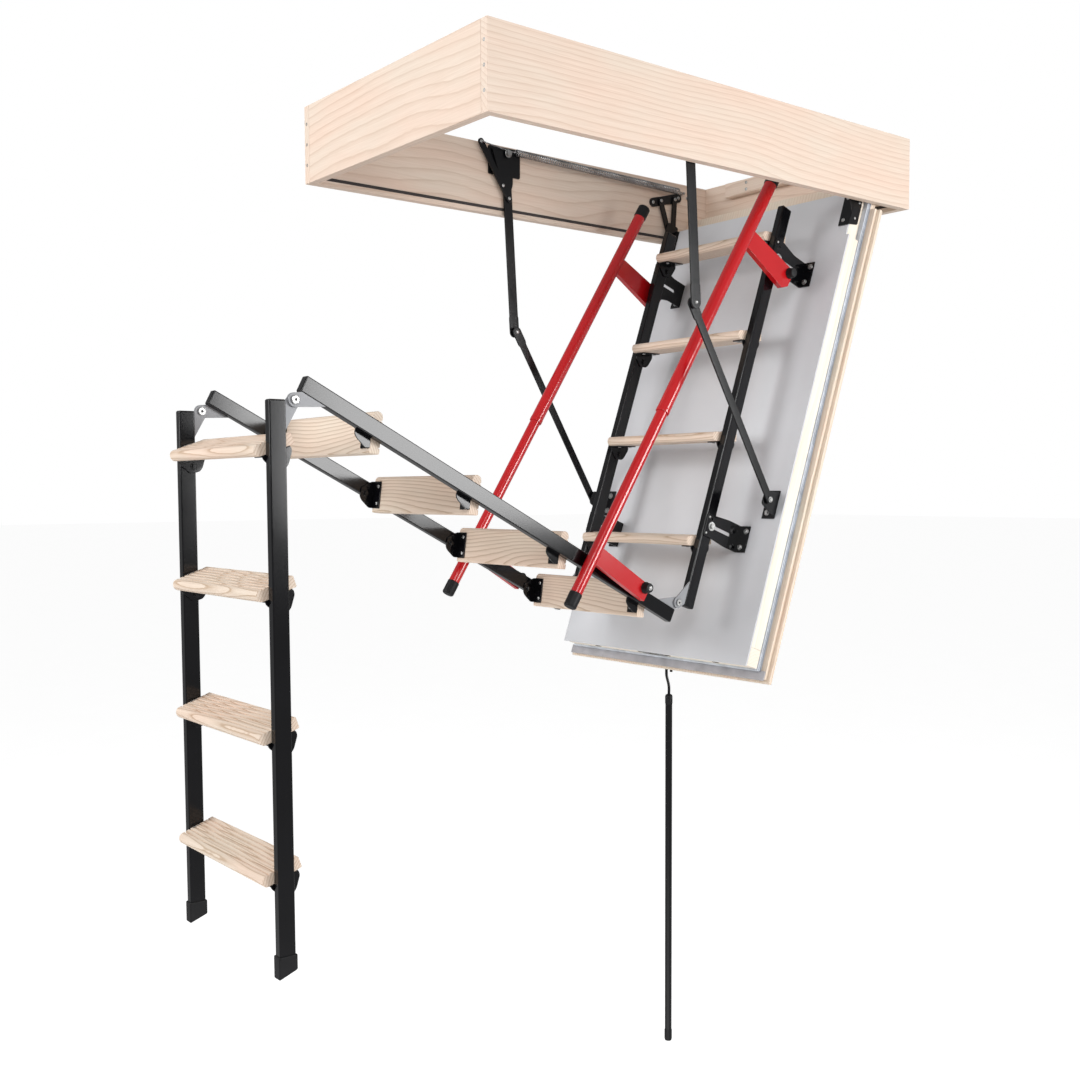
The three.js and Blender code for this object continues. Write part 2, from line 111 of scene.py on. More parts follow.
PIN_12 = pivot("section_2_unfold")
PIN_23 = pivot("section_3_unfold")
ladder_line = Flat(PIN_12, OPEN_ANGLE)
hatch = ladder_line.moved(-(SECTION_1_START + 2), -(STAND_OFF + FOLD_GAP / 2))
section_1 = hatch.moved(SECTION_1_START, STAND_OFF)
section_2 = Flat(PIN_12, 152.7 + 180).moved(-3, -FOLD_GAP / 2, flip=-1)
section_3 = Flat(PIN_23, 270.2 + 180).moved(-0.5, STILE_DEPTH + FOLD_GAP / 2, flip=-1)
SECTIONS = {
    1: dict(at=section_1, flip=1, length=998, treads=(160, 415, 670, 925), body="hatch"),
    2: dict(at=section_2, flip=-1, length=1032, treads=(88, 343, 598, 853), body="section_2"),
    3: dict(at=section_3, flip=-1, length=1008, treads=(79, 334, 589, 844), body="section_3"),
}


# ---------------------------------------------------------------- mesh making

def band(side, inner, outer):
    """A span of y on one side, lowest first."""
    return (-outer, -inner) if side < 0 else (inner, outer)


class Piece:
    """One object, put together from solids in millimetres."""

    def __init__(self, name):
        self.name = name
        self.bm = bmesh.new()
        self.bm.verts.layers.float_vector.new("grain")

    def add(self, bm, grain_frame=None, shift=0.0):
        """Take in another bmesh, in millimetres, with wood coordinates from grain_frame."""
        layer = bm.verts.layers.float_vector.get("grain") or bm.verts.layers.float_vector.new("grain")
        for v in bm.verts:
            if grain_frame:
                v[layer] = grain_frame(v.co) + Vector((shift * 0.37, shift * 0.011, shift * 0.007))
            else:
                v[layer] = v.co * MM
        mesh = bpy.data.meshes.new("part")
        bm.to_mesh(mesh)
        bm.free()
        self.bm.from_mesh(mesh)
        bpy.data.meshes.remove(mesh)
        return self

    def done(self, material, body, replaces=(), smooth=35):
        """Make the object in metres; body None leaves it unattached."""
        bmesh.ops.scale(self.bm, vec=(MM, MM, MM), verts=self.bm.verts)
        mesh = bpy.data.meshes.new(self.name)
        self.bm.to_mesh(mesh)
        self.bm.free()
        mesh.shade_smooth()
        mesh.set_sharp_from_angle(angle=radians(smooth))
        mesh.materials.append(material)
        obj = bpy.data.objects.new(self.name, mesh)
        bpy.context.scene.collection.objects.link(obj)
        flatter = obj.modifiers.new("flat_faces", "WEIGHTED_NORMAL")
        flatter.weight = 100
        flatter.keep_sharp = True
        if body:
            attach(obj, body)
        if replaces:
            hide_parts(*replaces)
        return obj


def block(x0, x1, y0, y1, z0, z1, edge=1.0, segments=2):
    """A box with rounded edges."""
    bm = bmesh.new()
    bmesh.ops.create_cube(bm, size=1)
    bmesh.ops.scale(bm, vec=(x1 - x0, y1 - y0, z1 - z0), verts=bm.verts)
    bmesh.ops.translate(bm, vec=((x0 + x1) / 2, (y0 + y1) / 2, (z0 + z1) / 2), verts=bm.verts)
    if edge:
        bmesh.ops.bevel(bm, geom=bm.edges[:], offset=edge, segments=segments, affect="EDGES", profile=0.5)
    return bm


def prism(outline, y0, y1, edge=0.8, segments=2):
    """A convex or concave outline in XZ, carried along Y, with rounded edges."""
    bm = bmesh.new()
    low = [bm.verts.new((x, y0, z)) for x, z in outline]
    high = [bm.verts.new((x, y1, z)) for x, z in outline]
    count = len(outline)
    bm.faces.new(low)
    bm.faces.new(high[::-1])
    for i in range(count):
        j = (i + 1) % count
        bm.faces.new((low[j], low[i], high[i], high[j]))
    bmesh.ops.recalc_face_normals(bm, faces=bm.faces)
    if edge:
        sharp = [e for e in bm.edges if e.calc_face_angle(0) > radians(25)]
        bmesh.ops.bevel(
            bm, geom=sharp, offset=edge, segments=segments, affect="EDGES", profile=0.5,
            clamp_overlap=True,
        )
    return bm


def solid_of(curve):
    """The mesh of a curve, which is used up."""
    obj = bpy.data.objects.new(curve.name, curve)
    bpy.context.scene.collection.objects.link(obj)
    bpy.context.view_layer.update()
    mesh = bpy.data.meshes.new_from_object(obj.evaluated_get(bpy.context.evaluated_depsgraph_get()))
    bm = bmesh.new()
    bm.from_mesh(mesh)
    bpy.data.objects.remove(obj)
    bpy.data.curves.remove(curve)
    bpy.data.meshes.remove(mesh)
    return bm


def sheet(outline, y0, y1, holes=(), edge=0.5):
    """A plate in XZ with round or long holes, with rounded edges."""
    curve = bpy.data.curves.new("sheet", "CURVE")
    curve.dimensions = "2D"
    curve.fill_mode = "BOTH"
    for ring in (outline, *holes):
        spline = curve.splines.new("POLY")
        spline.points.add(len(ring) - 1)
        for point, (x, z) in zip(spline.points, ring):
            point.co = (x, z, 0, 1)
        spline.use_cyclic_u = True
    curve.extrude = abs(y1 - y0) / 2 - edge
    curve.bevel_depth = edge
    curve.bevel_resolution = 1
    curve.offset = -edge
    bm = solid_of(curve)
    bmesh.ops.transform(bm, matrix=Matrix.Rotation(pi / 2, 4, "X"), verts=bm.verts)
    bmesh.ops.translate(bm, vec=(0, (y0 + y1) / 2, 0), verts=bm.verts)
    bmesh.ops.remove_doubles(bm, verts=bm.verts, dist=0.01)
    return bm


def on_circle(centre, radius, angle):
    return (centre[0] + radius * cos(angle), centre[1] + radius * sin(angle))


def circle(centre, radius):
    return [on_circle(centre, radius, 2 * pi * i / 24) for i in range(24)]


def capsule(a, b, radius):
    """The outline of a flat bar with round ends, or of a long hole."""
    slope = atan2(b[1] - a[1], b[0] - a[0])
    ends = ((b, slope - pi / 2), (a, slope + pi / 2))
    return [on_circle(centre, radius, start + pi * i / 10) for centre, start in ends for i in range(11)]


def rounded(points, radius, count=5):
    """An outline with its corners rounded."""
    ring = []
    total = len(points)
    for i, p in enumerate(points):
        before = Vector(points[i - 1]) - Vector(p)
        after = Vector(points[(i + 1) % total]) - Vector(p)
        reach = min(radius, before.length * 0.45, after.length * 0.45)
        a = Vector(p) + before.normalized() * reach
        b = Vector(p) + after.normalized() * reach
        for k in range(count + 1):
            t = k / count
            q = (1 - t) ** 2 * a + 2 * t * (1 - t) * Vector(p) + t ** 2 * b
            ring.append((q.x, q.y))
    return ring


def turned(profile, origin, axis, segments=32):
    """A profile of (radius, height) points turned round an axis; closed on both ends."""
    bm = bmesh.new()
    rows = []
    for radius, height in profile:
        if radius < 1e-6:
            rows.append([bm.verts.new((0, 0, height))])
        else:
            ring = [on_circle((0, 0), radius, 2 * pi * i / segments) for i in range(segments)]
            rows.append([bm.verts.new((x, y, height)) for x, y in ring])
    for lower, upper in zip(rows, rows[1:]):
        for i in range(segments):
            j = (i + 1) % segments
            corners = ((lower, i), (lower, j), (upper, j), (upper, i))
            ring = list(dict.fromkeys(row[k % len(row)] for row, k in corners))
            if len(ring) > 2:
                bm.faces.new(ring)
    if len(rows[0]) > 1 and len(rows[-1]) > 1 and profile[0] != profile[-1]:
        bm.faces.new(rows[0][::-1])
        bm.faces.new(rows[-1])
    bmesh.ops.remove_doubles(bm, verts=bm.verts, dist=1e-4)
    bmesh.ops.recalc_face_normals(bm, faces=bm.faces)
    turn = Vector((0, 0, 1)).rotation_difference(Vector(axis).normalized()).to_matrix().to_4x4()
    bmesh.ops.transform(bm, matrix=Matrix.Translation(Vector(origin)) @ turn, verts=bm.verts)
    return bm


def wire(points, radius, sides=8):
    """A round wire through points, as a mesh."""
    curve = bpy.data.curves.new("wire", "CURVE")
    curve.dimensions = "3D"
    spline = curve.splines.new("POLY")
    spline.points.add(len(points) - 1)
    for point, co in zip(spline.points, points):
        point.co = (*co, 1)
    curve.bevel_depth = radius
    curve.bevel_resolution = sides // 2 - 2
    curve.use_fill_caps = True
    return solid_of(curve)


def eased(points):
    """A smooth run of points through the given ones (Catmull-Rom)."""
    steps = 8
    pts = [Vector(p) for p in points]
    pts = [2 * pts[0] - pts[1], *pts, 2 * pts[-1] - pts[-2]]
    run = []
    for a, b, c, d in zip(pts, pts[1:], pts[2:], pts[3:]):
        square = 2 * a - 5 * b + 4 * c - d
        cube = 3 * b - a - 3 * c + d
        for k in range(steps):
            t = k / steps
            run.append(0.5 * (2 * b + (c - a) * t + square * t ** 2 + cube * t ** 3))
    run.append(pts[-2])
    return run


def on_y(p, y):
    return (p[0], y, p[1])


def dome(radius, height):
    """The profile of a rivet or button head standing on height 0."""
    turns = [pi / 2 * i / 6 for i in range(6)]
    return [(radius * cos(a), height * sin(a)) for a in turns] + [(0, height)]


def rivet(point, normal, radius=4.5, height=2.6):
    return turned([(0, -0.5), (radius, -0.5), *dome(radius, height)], point, normal, 20)


def peg(point, y, side, radius, length, segments=20):
    """A plain round pin that starts at y and runs outward."""
    profile = [(0, 0), (radius, 0), (radius, length), (0, length)]
    return turned(profile, on_y(point, side * y), (0, side, 0), segments)


def hex_bolt(point, normal, across=10, height=5, washer=8.5):
    """A washer under a hexagon head with a chamfered top."""
    head = across / 2 / cos(pi / 6)
    bm = turned([(0, 0), (washer, 0), (washer, 1.1), (washer - 0.5, 1.5), (0, 1.5)], point, normal, 28)
    nut = turned(
        [(0, 1.5), (head, 1.5), (head, height - 0.8), (head - 0.9, height), (0, height)], point, normal, 6
    )
    return bm, nut


def screw_head(point, normal, radius=4.2):
    """A pan head with a shallow cross recess."""
    recess = radius * 0.35
    rim = [(0, -0.6), (radius, -0.6), (radius, 0.6), (radius * 0.8, 1.7)]
    profile = [*rim, (recess, 2.1), (recess * 0.6, 0.8), (0, 0.8)]
    return turned(profile, point, normal, 20)


# ---------------------------------------------------------------- materials

def fresh(name):
    material = bpy.data.materials.new(name)
    material.use_nodes = True
    tree = material.node_tree
    tree.nodes.clear()
    out = tree.nodes.new("ShaderNodeOutputMaterial")
    shader = tree.nodes.new("ShaderNodeBsdfPrincipled")
    tree.links.new(shader.outputs[0], out.inputs[0])
    return material, tree, shader


def node(tree, kind, **settings):
    n = tree.nodes.new(kind)
    for key, value in settings.items():
        if key in n.inputs:
            n.inputs[key].default_value = value
        else:
            setattr(n, key, value)
    return n


def on_object(tree):
    """Object coordinates, in metres."""
    return node(tree, "ShaderNodeTexCoord").outputs["Object"]


def stretched(tree, vector, scale):
    mapping = node(tree, "ShaderNodeMapping", Scale=scale)
    tree.links.new(vector, mapping.inputs["Vector"])
    return mapping.outputs[0]


def noise(tree, vector, **settings):
    n = node(tree, "ShaderNodeTexNoise", **settings)
    tree.links.new(vector, n.inputs["Vector"])
    return n.outputs


def ramp(tree, factor, stops):
    r = node(tree, "ShaderNodeValToRGB")
    elements = r.color_ramp.elements
    while len(elements) < len(stops):
        elements.new(0.5)
    for element, (place, colour) in zip(elements, stops):
        element.position = place
        element.color = (*colour, 1)
    tree.links.new(factor, r.inputs[0])
    return r.outputs[0]


def spread(tree, factor, low, high):
    n = node(tree, "ShaderNodeMapRange")
    n.inputs["To Min"].default_value = low
    n.inputs["To Max"].default_value = high
    tree.links.new(factor, n.inputs["Value"])
    return n.outputs[0]


def tinted(tree, shader, factor, stops):
    tree.links.new(ramp(tree, factor, stops), shader.inputs["Base Color"])


def dulled(tree, shader, factor, low, high):
    tree.links.new(spread(tree, factor, low, high), shader.inputs["Roughness"])


def textured(tree, shader, height, strength, distance):
    bump = node(tree, "ShaderNodeBump", Strength=strength, Distance=distance)
    tree.links.new(height, bump.inputs["Height"])
    tree.links.new(bump.outputs[0], shader.inputs["Normal"])


def shade(colour, factor):
    return tuple(min(1, c * factor) for c in colour)


def coat(name, colour, roughness, variation=0.25, peel=0.05, clear=0.3, gloss=0.5):
    """Painted or powder-coated metal: a faint orange peel and uneven gloss."""
    material, tree, shader = fresh(name)
    shader.inputs["Specular IOR Level"].default_value = gloss
    shader.inputs["Coat Weight"].default_value = clear
    shader.inputs["Coat Roughness"].default_value = 0.1
    place = on_object(tree)
    slow = noise(tree, place, Scale=9.0, Detail=4.0)[0]
    tinted(tree, shader, slow, [(0.3, shade(colour, 1 - variation)), (0.7, shade(colour, 1 + variation))])
    dulled(tree, shader, slow, roughness * 0.8, roughness * 1.25)
    textured(tree, shader, noise(tree, place, Scale=420.0, Detail=2.0)[0], peel, 0.0006)
    return material


def plated(name, colour, roughness):
    """Zinc-plated or drawn steel: metal with small bright and dull crystals."""
    material, tree, shader = fresh(name)
    shader.inputs["Metallic"].default_value = 1.0
    place = on_object(tree)
    speck = node(tree, "ShaderNodeTexVoronoi", Scale=600.0)
    tree.links.new(place, speck.inputs["Vector"])
    cloud = noise(tree, place, Scale=160.0, Detail=5.0)[0]
    tinted(tree, shader, cloud, [(0.3, shade(colour, 0.72)), (0.65, colour)])
    dulled(tree, shader, speck.outputs[0], roughness * 0.7, roughness * 1.4)
    return material


def moulded(name, colour, roughness, grain=520.0, depth=0.2):
    """Moulded rubber, foam or plastic with a fine pebbled skin."""
    material, tree, shader = fresh(name)
    shader.inputs["Specular IOR Level"].default_value = 0.28
    place = on_object(tree)
    cloud = noise(tree, place, Scale=30.0, Detail=5.0)[0]
    tinted(tree, shader, cloud, [(0.3, shade(colour, 0.82)), (0.7, shade(colour, 1.14))])
    dulled(tree, shader, cloud, roughness * 0.9, min(1, roughness * 1.12))
    textured(tree, shader, noise(tree, place, Scale=grain, Detail=3.0)[0], depth, 0.0008)
    return material


def multiplied(tree, first, second):
    mix = node(tree, "ShaderNodeMix", data_type="RGBA", blend_type="MULTIPLY")
    mix.inputs[0].default_value = 1.0
    tree.links.new(first, mix.inputs[6])
    tree.links.new(second, mix.inputs[7])
    return mix.outputs[2]


def pine(name, pale, late, ring, pith, contrast, sway, drift):
    """Softwood: growth rings round a wandering pith, fine fibres and pores, all along grain x."""
    material, tree, shader = fresh(name)
    grain = node(tree, "ShaderNodeAttribute", attribute_name="grain").outputs["Vector"]
    wander = noise(tree, stretched(tree, grain, (drift, 1.6, 1.6)), Scale=1.0, Detail=1.5)
    centred = node(tree, "ShaderNodeVectorMath", operation="SUBTRACT")
    tree.links.new(wander["Color"], centred.inputs[0])
    centred.inputs[1].default_value = (0.5, 0.5, 0.5)
    swayed = node(tree, "ShaderNodeVectorMath", operation="MULTIPLY_ADD")
    tree.links.new(centred.outputs[0], swayed.inputs[0])
    swayed.inputs[1].default_value = (0.0, sway, 2 * sway)
    tree.links.new(grain, swayed.inputs[2])
    placed = node(tree, "ShaderNodeMapping", Location=(0, *pith))
    tree.links.new(swayed.outputs[0], placed.inputs["Vector"])
    rings = node(
        tree, "ShaderNodeTexWave", wave_type="RINGS", rings_direction="X", wave_profile="SAW",
        Scale=2 * pi / (20 * ring), Distortion=0.5, Detail=1.0,
    )
    rings.inputs["Detail Scale"].default_value = 1.0
    tree.links.new(placed.outputs[0], rings.inputs["Vector"])
    fibre_place = stretched(tree, grain, (9.0, 420.0, 420.0))
    fibre = noise(tree, fibre_place, Scale=1.0, Detail=4.0, Roughness=0.6)[0]
    tint = noise(tree, stretched(tree, grain, (1.6, 5.0, 5.0)), Scale=2.2, Detail=3.0)[0]
    mid = tuple(p + (q - p) * 0.35 * contrast for p, q in zip(pale, late))
    deep = tuple(p + (q - p) * contrast for p, q in zip(pale, late))
    rung = ramp(tree, rings.outputs[0], [(0.0, pale), (0.5, pale), (0.78, mid), (0.93, deep), (1.0, pale)])
    streak = ramp(tree, fibre, [(0.3, (0.90, 0.87, 0.84)), (0.7, (1.0, 1.0, 1.0))])
    blush = ramp(tree, tint, [(0.35, (1.0, 0.95, 0.92)), (0.65, (0.97, 1.0, 0.99))])
    wood = multiplied(tree, multiplied(tree, rung, streak), blush)
    tree.links.new(wood, shader.inputs["Base Color"])
    dulled(tree, shader, fibre, 0.45, 0.575)
    textured(tree, shader, fibre, 0.22, 0.0006)
    return material


BLACK = coat("powder_black", (0.0035, 0.0035, 0.0045), 0.3, peel=0.06, clear=0.0, gloss=0.3)
STILE = coat("stile_black", (0.003, 0.003, 0.004), 0.13, peel=0.01, clear=0.0, gloss=0.4)
RED = coat("rail_red", (0.50, 0.004, 0.008), 0.2, variation=0.06, peel=0.02, clear=0.45)
PANEL = coat("panel_grey", (0.65, 0.66, 0.685), 0.5, variation=0.025, peel=0.03, clear=0.0, gloss=0.4)
ZINC = plated("zinc", (0.46, 0.46, 0.455), 0.34)
SPRING_STEEL = plated("spring_steel", (0.42, 0.42, 0.43), 0.3)
# hinge ears: black-painted steel, given a mid-grey base colour as painted reflection
EAR_PAINTED_REFLECTION = coat("ear_painted_reflection", (0.27, 0.275, 0.29), 0.34, variation=0.05, peel=0.04, clear=0.0, gloss=0.45)
RUBBER = moulded("black_rubber", (0.005, 0.005, 0.006), 0.5)
FOAM = moulded("seal_pale", (0.62, 0.66, 0.72), 0.6, grain=900.0, depth=0.12)
FOAM_BLUE = moulded("seal_blue", (0.23, 0.27, 0.34), 0.6, grain=900.0, depth=0.12)
FOAM_GREY = moulded("seal_grey", (0.40, 0.39, 0.41), 0.6, grain=900.0, depth=0.12)
# dark seal foam for the casing strip; the same material makes the dark pads of painted shade at the latch
# slots
DARK_SEAL_AND_SLOT_SHADE = moulded("seal_dark_and_slot_shade", (0.05, 0.043, 0.042), 0.75, grain=900.0, depth=0.15)
CASING_PINE = pine(
    "casing_pine", (0.80, 0.66, 0.565), (0.62, 0.455, 0.35), ring=0.009, pith=(0.085, 0.13),
    contrast=0.6, sway=0.055, drift=1.3,
)
TREAD_PINE = pine(
    "tread_pine", (0.81, 0.68, 0.575), (0.47, 0.32, 0.205), ring=0.0054, pith=(0.0, 0.036),
    contrast=0.85, sway=0.045, drift=1.9,
)
HATCH_PINE = pine(
    "hatch_pine", (0.93, 0.88, 0.79), (0.82, 0.72, 0.58), ring=0.007, pith=(0.04, 0.06),
    contrast=0.45, sway=0.03, drift=1.0,
)
OUTER_PINE = pine(
    "outer_pine", (0.84, 0.73, 0.62), (0.68, 0.54, 0.42), ring=0.009, pith=(0.2, 0.07),
    contrast=0.55, sway=0.05, drift=1.0,
)


# ---------------------------------------------------------------- casing

def along_x(co):
    return Vector((co.x, co.z, co.y)) * MM


def along_y(co):
    return Vector((co.y, co.z, co.x)) * MM


def board(name, label, grain, shift):
    low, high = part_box(name)
    x0, y0, z0 = (c / MM for c in low)
    x1, y1, z1 = (c / MM for c in high)
    piece = Piece(label)
    piece.add(block(x0, x1, y0, y1, z0, z1, edge=0.9), grain, shift)
    piece.done(CASING_PINE, "casing", [name])
    return (x0, x1, y0, y1, z0, z1)


near = board("casing_board_near", "board_near", along_x, 1.0)
far = board("casing_board_far", "board_far", along_x, 2.3)
free = board("casing_board_free_end", "board_free_end", along_y, 3.7)
hinge_end = board("casing_board_hinge_end", "board_hinge_end", along_y, 5.2)
INNER_X = (free[1], hinge_end[0])
INNER_Y = (near[3], far[2])
TOP_Z = near[5]

# a dark sealing strip runs round the inside just above the lower edge
strip = Piece("casing_seal")
STRIP_Z = (11, 18)
for y0, y1 in ((INNER_Y[0] - 0.5, INNER_Y[0] + 1.6), (INNER_Y[1] - 1.6, INNER_Y[1] + 0.5)):
    strip.add(block(INNER_X[0], INNER_X[1], y0, y1, *STRIP_Z, edge=0.7))
for x0, x1 in ((INNER_X[0] - 0.5, INNER_X[0] + 1.6), (INNER_X[1] - 1.6, INNER_X[1] + 0.5)):
    strip.add(block(x0, x1, INNER_Y[0] + 1.8, INNER_Y[1] - 1.8, *STRIP_Z, edge=0.7))
strip.done(DARK_SEAL_AND_SLOT_SHADE, "casing")

# cleat across the hinge end
cleat = Piece("hinge_end_cleat")
CLEAT_X = INNER_X[1] - 22
CLEAT_Y = (INNER_Y[0] + 40, INNER_Y[1] - 95)
cleat.add(block(CLEAT_X, INNER_X[1] - 0.3, *CLEAT_Y, TOP_Z - 44, TOP_Z - 6, edge=1.2), along_y, 7.1)
cleat.done(CASING_PINE, "casing")

# corner screws in the boards and the keeper plate of the latch
screws = Piece("casing_screws")
COUNTERSUNK = [(0, -1), (3.8, -1), (3.6, 0.05), (1.2, 0.05), (0.8, -0.6), (0, -0.6)]
for y in (INNER_Y[0] - 10, INNER_Y[1] + 10):
    for z in (40, 85, 130):
        for x, n in ((near[0], -1), (near[1], 1)):
            screws.add(turned(COUNTERSUNK, (x, y, z), (n, 0, 0), 18))
for z in (TOP_Z - 34, TOP_Z - 16):
    for y in (-150, 0, 150):
        screws.add(screw_head((CLEAT_X, y, z), (-1, 0, 0)))
screws.done(ZINC, "casing")
keeper = Piece("latch_keeper")
outline = rounded(((-26, 14), (26, 14), (26, 50), (-26, 50)), 4)
window = rounded(((-18, 22), (18, 22), (18, 42), (-18, 42)), 2)
bm = sheet(outline, -0.75, 0.75, [window], edge=0.3)
place = Matrix.Translation((INNER_X[0] + 0.9, 0, 0)) @ Matrix.Rotation(pi / 2, 4, "Z")
bmesh.ops.transform(bm, matrix=place, verts=bm.verts)
keeper.add(bm)
keeper.done(ZINC, "casing")


# ---------------------------------------------------------------- hatch

def hatch_grain(co):
    """Wood coordinates on the hatch, grain up the panel."""
    dx, dz = co.x - hatch.origin[0], co.z - hatch.origin[1]
    s = dx * hatch.u[0] + dz * hatch.u[1]
    f = dx * hatch.n[0] + dz * hatch.n[1]
    return Vector((s, co.y, f)) * MM


def hatch_cross_grain(co):
    s, y, f = hatch_grain(co)
    return Vector((y, s, f))


UP_HATCH = on_y(hatch.u, 0)
OFF_HATCH = on_y(hatch.n, 0)
ACROSS = (0, 1, 0)


def laid(bm, axes, origin):
    """A mesh carried to the hatch, with its x, y and z along axes."""
    place = Matrix(axes).transposed().to_4x4()
    place.translation = on_y(origin, 0)
    bmesh.ops.transform(bm, matrix=place, verts=bm.verts)
    return bm


def slab(s0, s1, f0, f1, y0, y1, edge=1.0):
    """A rounded block lying on the hatch."""
    return laid(block(s0, s1, y0, y1, f0, f1, edge), (UP_HATCH, ACROSS, OFF_HATCH), hatch.origin)


FRAME_LENGTH = 1174
FRAME_HALF = 317
REBATE_HALF = 309
REBATE_START = 1060
PANEL_F = (-4, 0)
FRAME_F = (-38.4, -4.4)
OUTER_F = (-70.2, -52.2)
RAIL_WIDTH = 42

panel = Piece("hatch_panel")
outline = [(0.2, -FRAME_HALF), (REBATE_START, -FRAME_HALF)]
outline += [(REBATE_START, -REBATE_HALF), (FRAME_LENGTH, -REBATE_HALF)]
outline += [(s, -y) for s, y in reversed(outline)]
bm = laid(prism(outline, *PANEL_F, edge=0.5), (UP_HATCH, OFF_HATCH, ACROSS), hatch.origin)
bmesh.ops.recalc_face_normals(bm, faces=bm.faces)
panel.add(bm)
panel.done(PANEL, "hatch", ["hatch_inner_panel"])

# the free end's rail is built round the latch's pocket
core = Piece("hatch_core_frame")
POCKET_HALF = 17.5
POCKET_F = (-31.2, -12.8)
for f0, f1, y0, y1 in (
    (*FRAME_F, -FRAME_HALF, -POCKET_HALF), (*FRAME_F, POCKET_HALF, FRAME_HALF),
    (FRAME_F[0], POCKET_F[0], -POCKET_HALF, POCKET_HALF),
    (POCKET_F[1], FRAME_F[1], -POCKET_HALF, POCKET_HALF),
):
    core.add(slab(2, 2 + RAIL_WIDTH, f0, f1, y0, y1, 0.5), hatch_cross_grain, 1.4)
RAIL_END = FRAME_LENGTH - RAIL_WIDTH
core.add(slab(RAIL_END, FRAME_LENGTH, *FRAME_F, -REBATE_HALF, REBATE_HALF), hatch_cross_grain, 2.9)
for label, side in SIDES:
    y0, y1 = band(side, FRAME_HALF - RAIL_WIDTH, FRAME_HALF)
    core.add(slab(44.3, REBATE_START, *FRAME_F, y0, y1), hatch_grain, 3.3 + side)
    y0, y1 = band(side, REBATE_HALF - RAIL_WIDTH, REBATE_HALF)
    core.add(slab(REBATE_START + 0.3, RAIL_END - 0.3, *FRAME_F, y0, y1), hatch_grain, 4.3 + side)
core.done(HATCH_PINE, "hatch", ["hatch_frame"])

insulation = Piece("hatch_insulation")
insulation.add(slab(45, FRAME_LENGTH - 43, -37.5, -4.6, -FRAME_HALF + 51, FRAME_HALF - 51, 1.0))
insulation.done(FOAM, "hatch")

# sealing profile round the frame: pale lips with blue-grey channels, and a broad lip at the free end
seal = Piece("hatch_seals")
for f0, f1, grow in ((-42.4, -39.0, 3.0), (-47.2, -44.6, 2.6), (-51.8, -49.4, 3.0)):
    seal.add(slab(-2, 1192, f0, f1, -FRAME_HALF - grow + 0.2, FRAME_HALF + grow - 0.2, 0.9))
seal.done(FOAM, "hatch", ["hatch_seal"])
channel = Piece("hatch_seal_channels")
channel.add(slab(-0.5, 1190, -51, -39.6, -FRAME_HALF - 1, FRAME_HALF + 1, 0.6))
channel.done(FOAM_BLUE, "hatch")
ledge = Piece("hatch_seal_ledge")
ledge.add(slab(-21, 1, -52.0, -48.0, -334, 334, 1.6))
ledge.done(FOAM_GREY, "hatch")

outer = Piece("hatch_outer_board")
outer.add(slab(-25, 1150, OUTER_F[0], -61.2, -342.5, 342.5, 1.2), hatch_grain, 6.1)
outer.add(slab(-17, 1150, -61.4, OUTER_F[1], -334, 334, 0.8), hatch_grain, 7.7)
outer.add(slab(1150.2, 1234, *OUTER_F, -317, 317, 1.0), hatch_grain, 6.1)
outer.done(OUTER_PINE, "hatch", ["hatch_outer_panel"])

# latch: faceplate in the free edge, the bolt and three small slots; the slots are not cut but drawn as dark
# pads of painted shade
latch = Piece("latch_faceplate")
window = rounded(((-17, -30), (17, -30), (17, -14), (-17, -14)), 1.5)
bm = sheet(rounded(((-40, -33), (40, -33), (40, -10), (-40, -10)), 4), -0.7, 0.7, [window], edge=0.3)
latch_axes = (ACROSS, -Vector(UP_HATCH), OFF_HATCH)
laid(bm, latch_axes, hatch.at(1.2, 0))
latch.add(bm)
latch.done(ZINC, "hatch")
slot_shade = Piece("latch_slot_shade")
for y in (-205, 0, 205):
    for dy in (-46, 46) if y == 0 else (0,):
        slot_shade.add(slab(1.2, 3.5, -26, -19, y + dy - 9, y + dy + 9, 0.5))
slot_shade.done(DARK_SEAL_AND_SLOT_SHADE, "hatch")


# ---------------------------------------------------------------- sections

def in_section(number, s, f):
    return SECTIONS[number]["at"].at(s, f)


def tread_point(number, s, along, rise):
    """A point of a tread's profile; along points to the tread's front, rise to its top in use."""
    a = radians(OPEN_ANGLE)
    ds = -cos(a) * along + sin(a) * rise
    df = sin(a) * along + cos(a) * rise
    flip = SECTIONS[number]["flip"]
    return in_section(number, s + flip * ds, -STILE_DEPTH / 2 + df)


TREAD_HALF_DEPTH = 40
TREAD_HALF_THICK = 11
TREAD_HALF_LENGTH = 183.5
GROOVES = (-29, -18.5, -8, 2.5, 13, 23.5)
GROOVE_WIDTH = 3.0
GROOVE_DEPTH = 3.6
NOSE = 9.5


def tread_profile():
    """(along, rise) points: a round nose, a grooved top and a plain underside."""
    back, top = -TREAD_HALF_DEPTH, TREAD_HALF_THICK
    points = [(back, top - 1.5), (back + 1.5, top)]
    w = GROOVE_WIDTH / 2
    for g in GROOVES:
        points += [(g - w - 0.5, top), (g - w, top - 0.6), (g - w * 0.6, top - GROOVE_DEPTH)]
        points += [(g + w * 0.6, top - GROOVE_DEPTH), (g + w, top - 0.6), (g + w + 0.5, top)]
    steps = 12
    centre = TREAD_HALF_DEPTH - NOSE
    for i in range(steps + 1):
        a = pi / 2 - pi * i / steps
        points.append((centre + NOSE * cos(a), top * sin(a)))
    points += [(back + 1.5, -top), (back, 1.5 - top)]
    return points


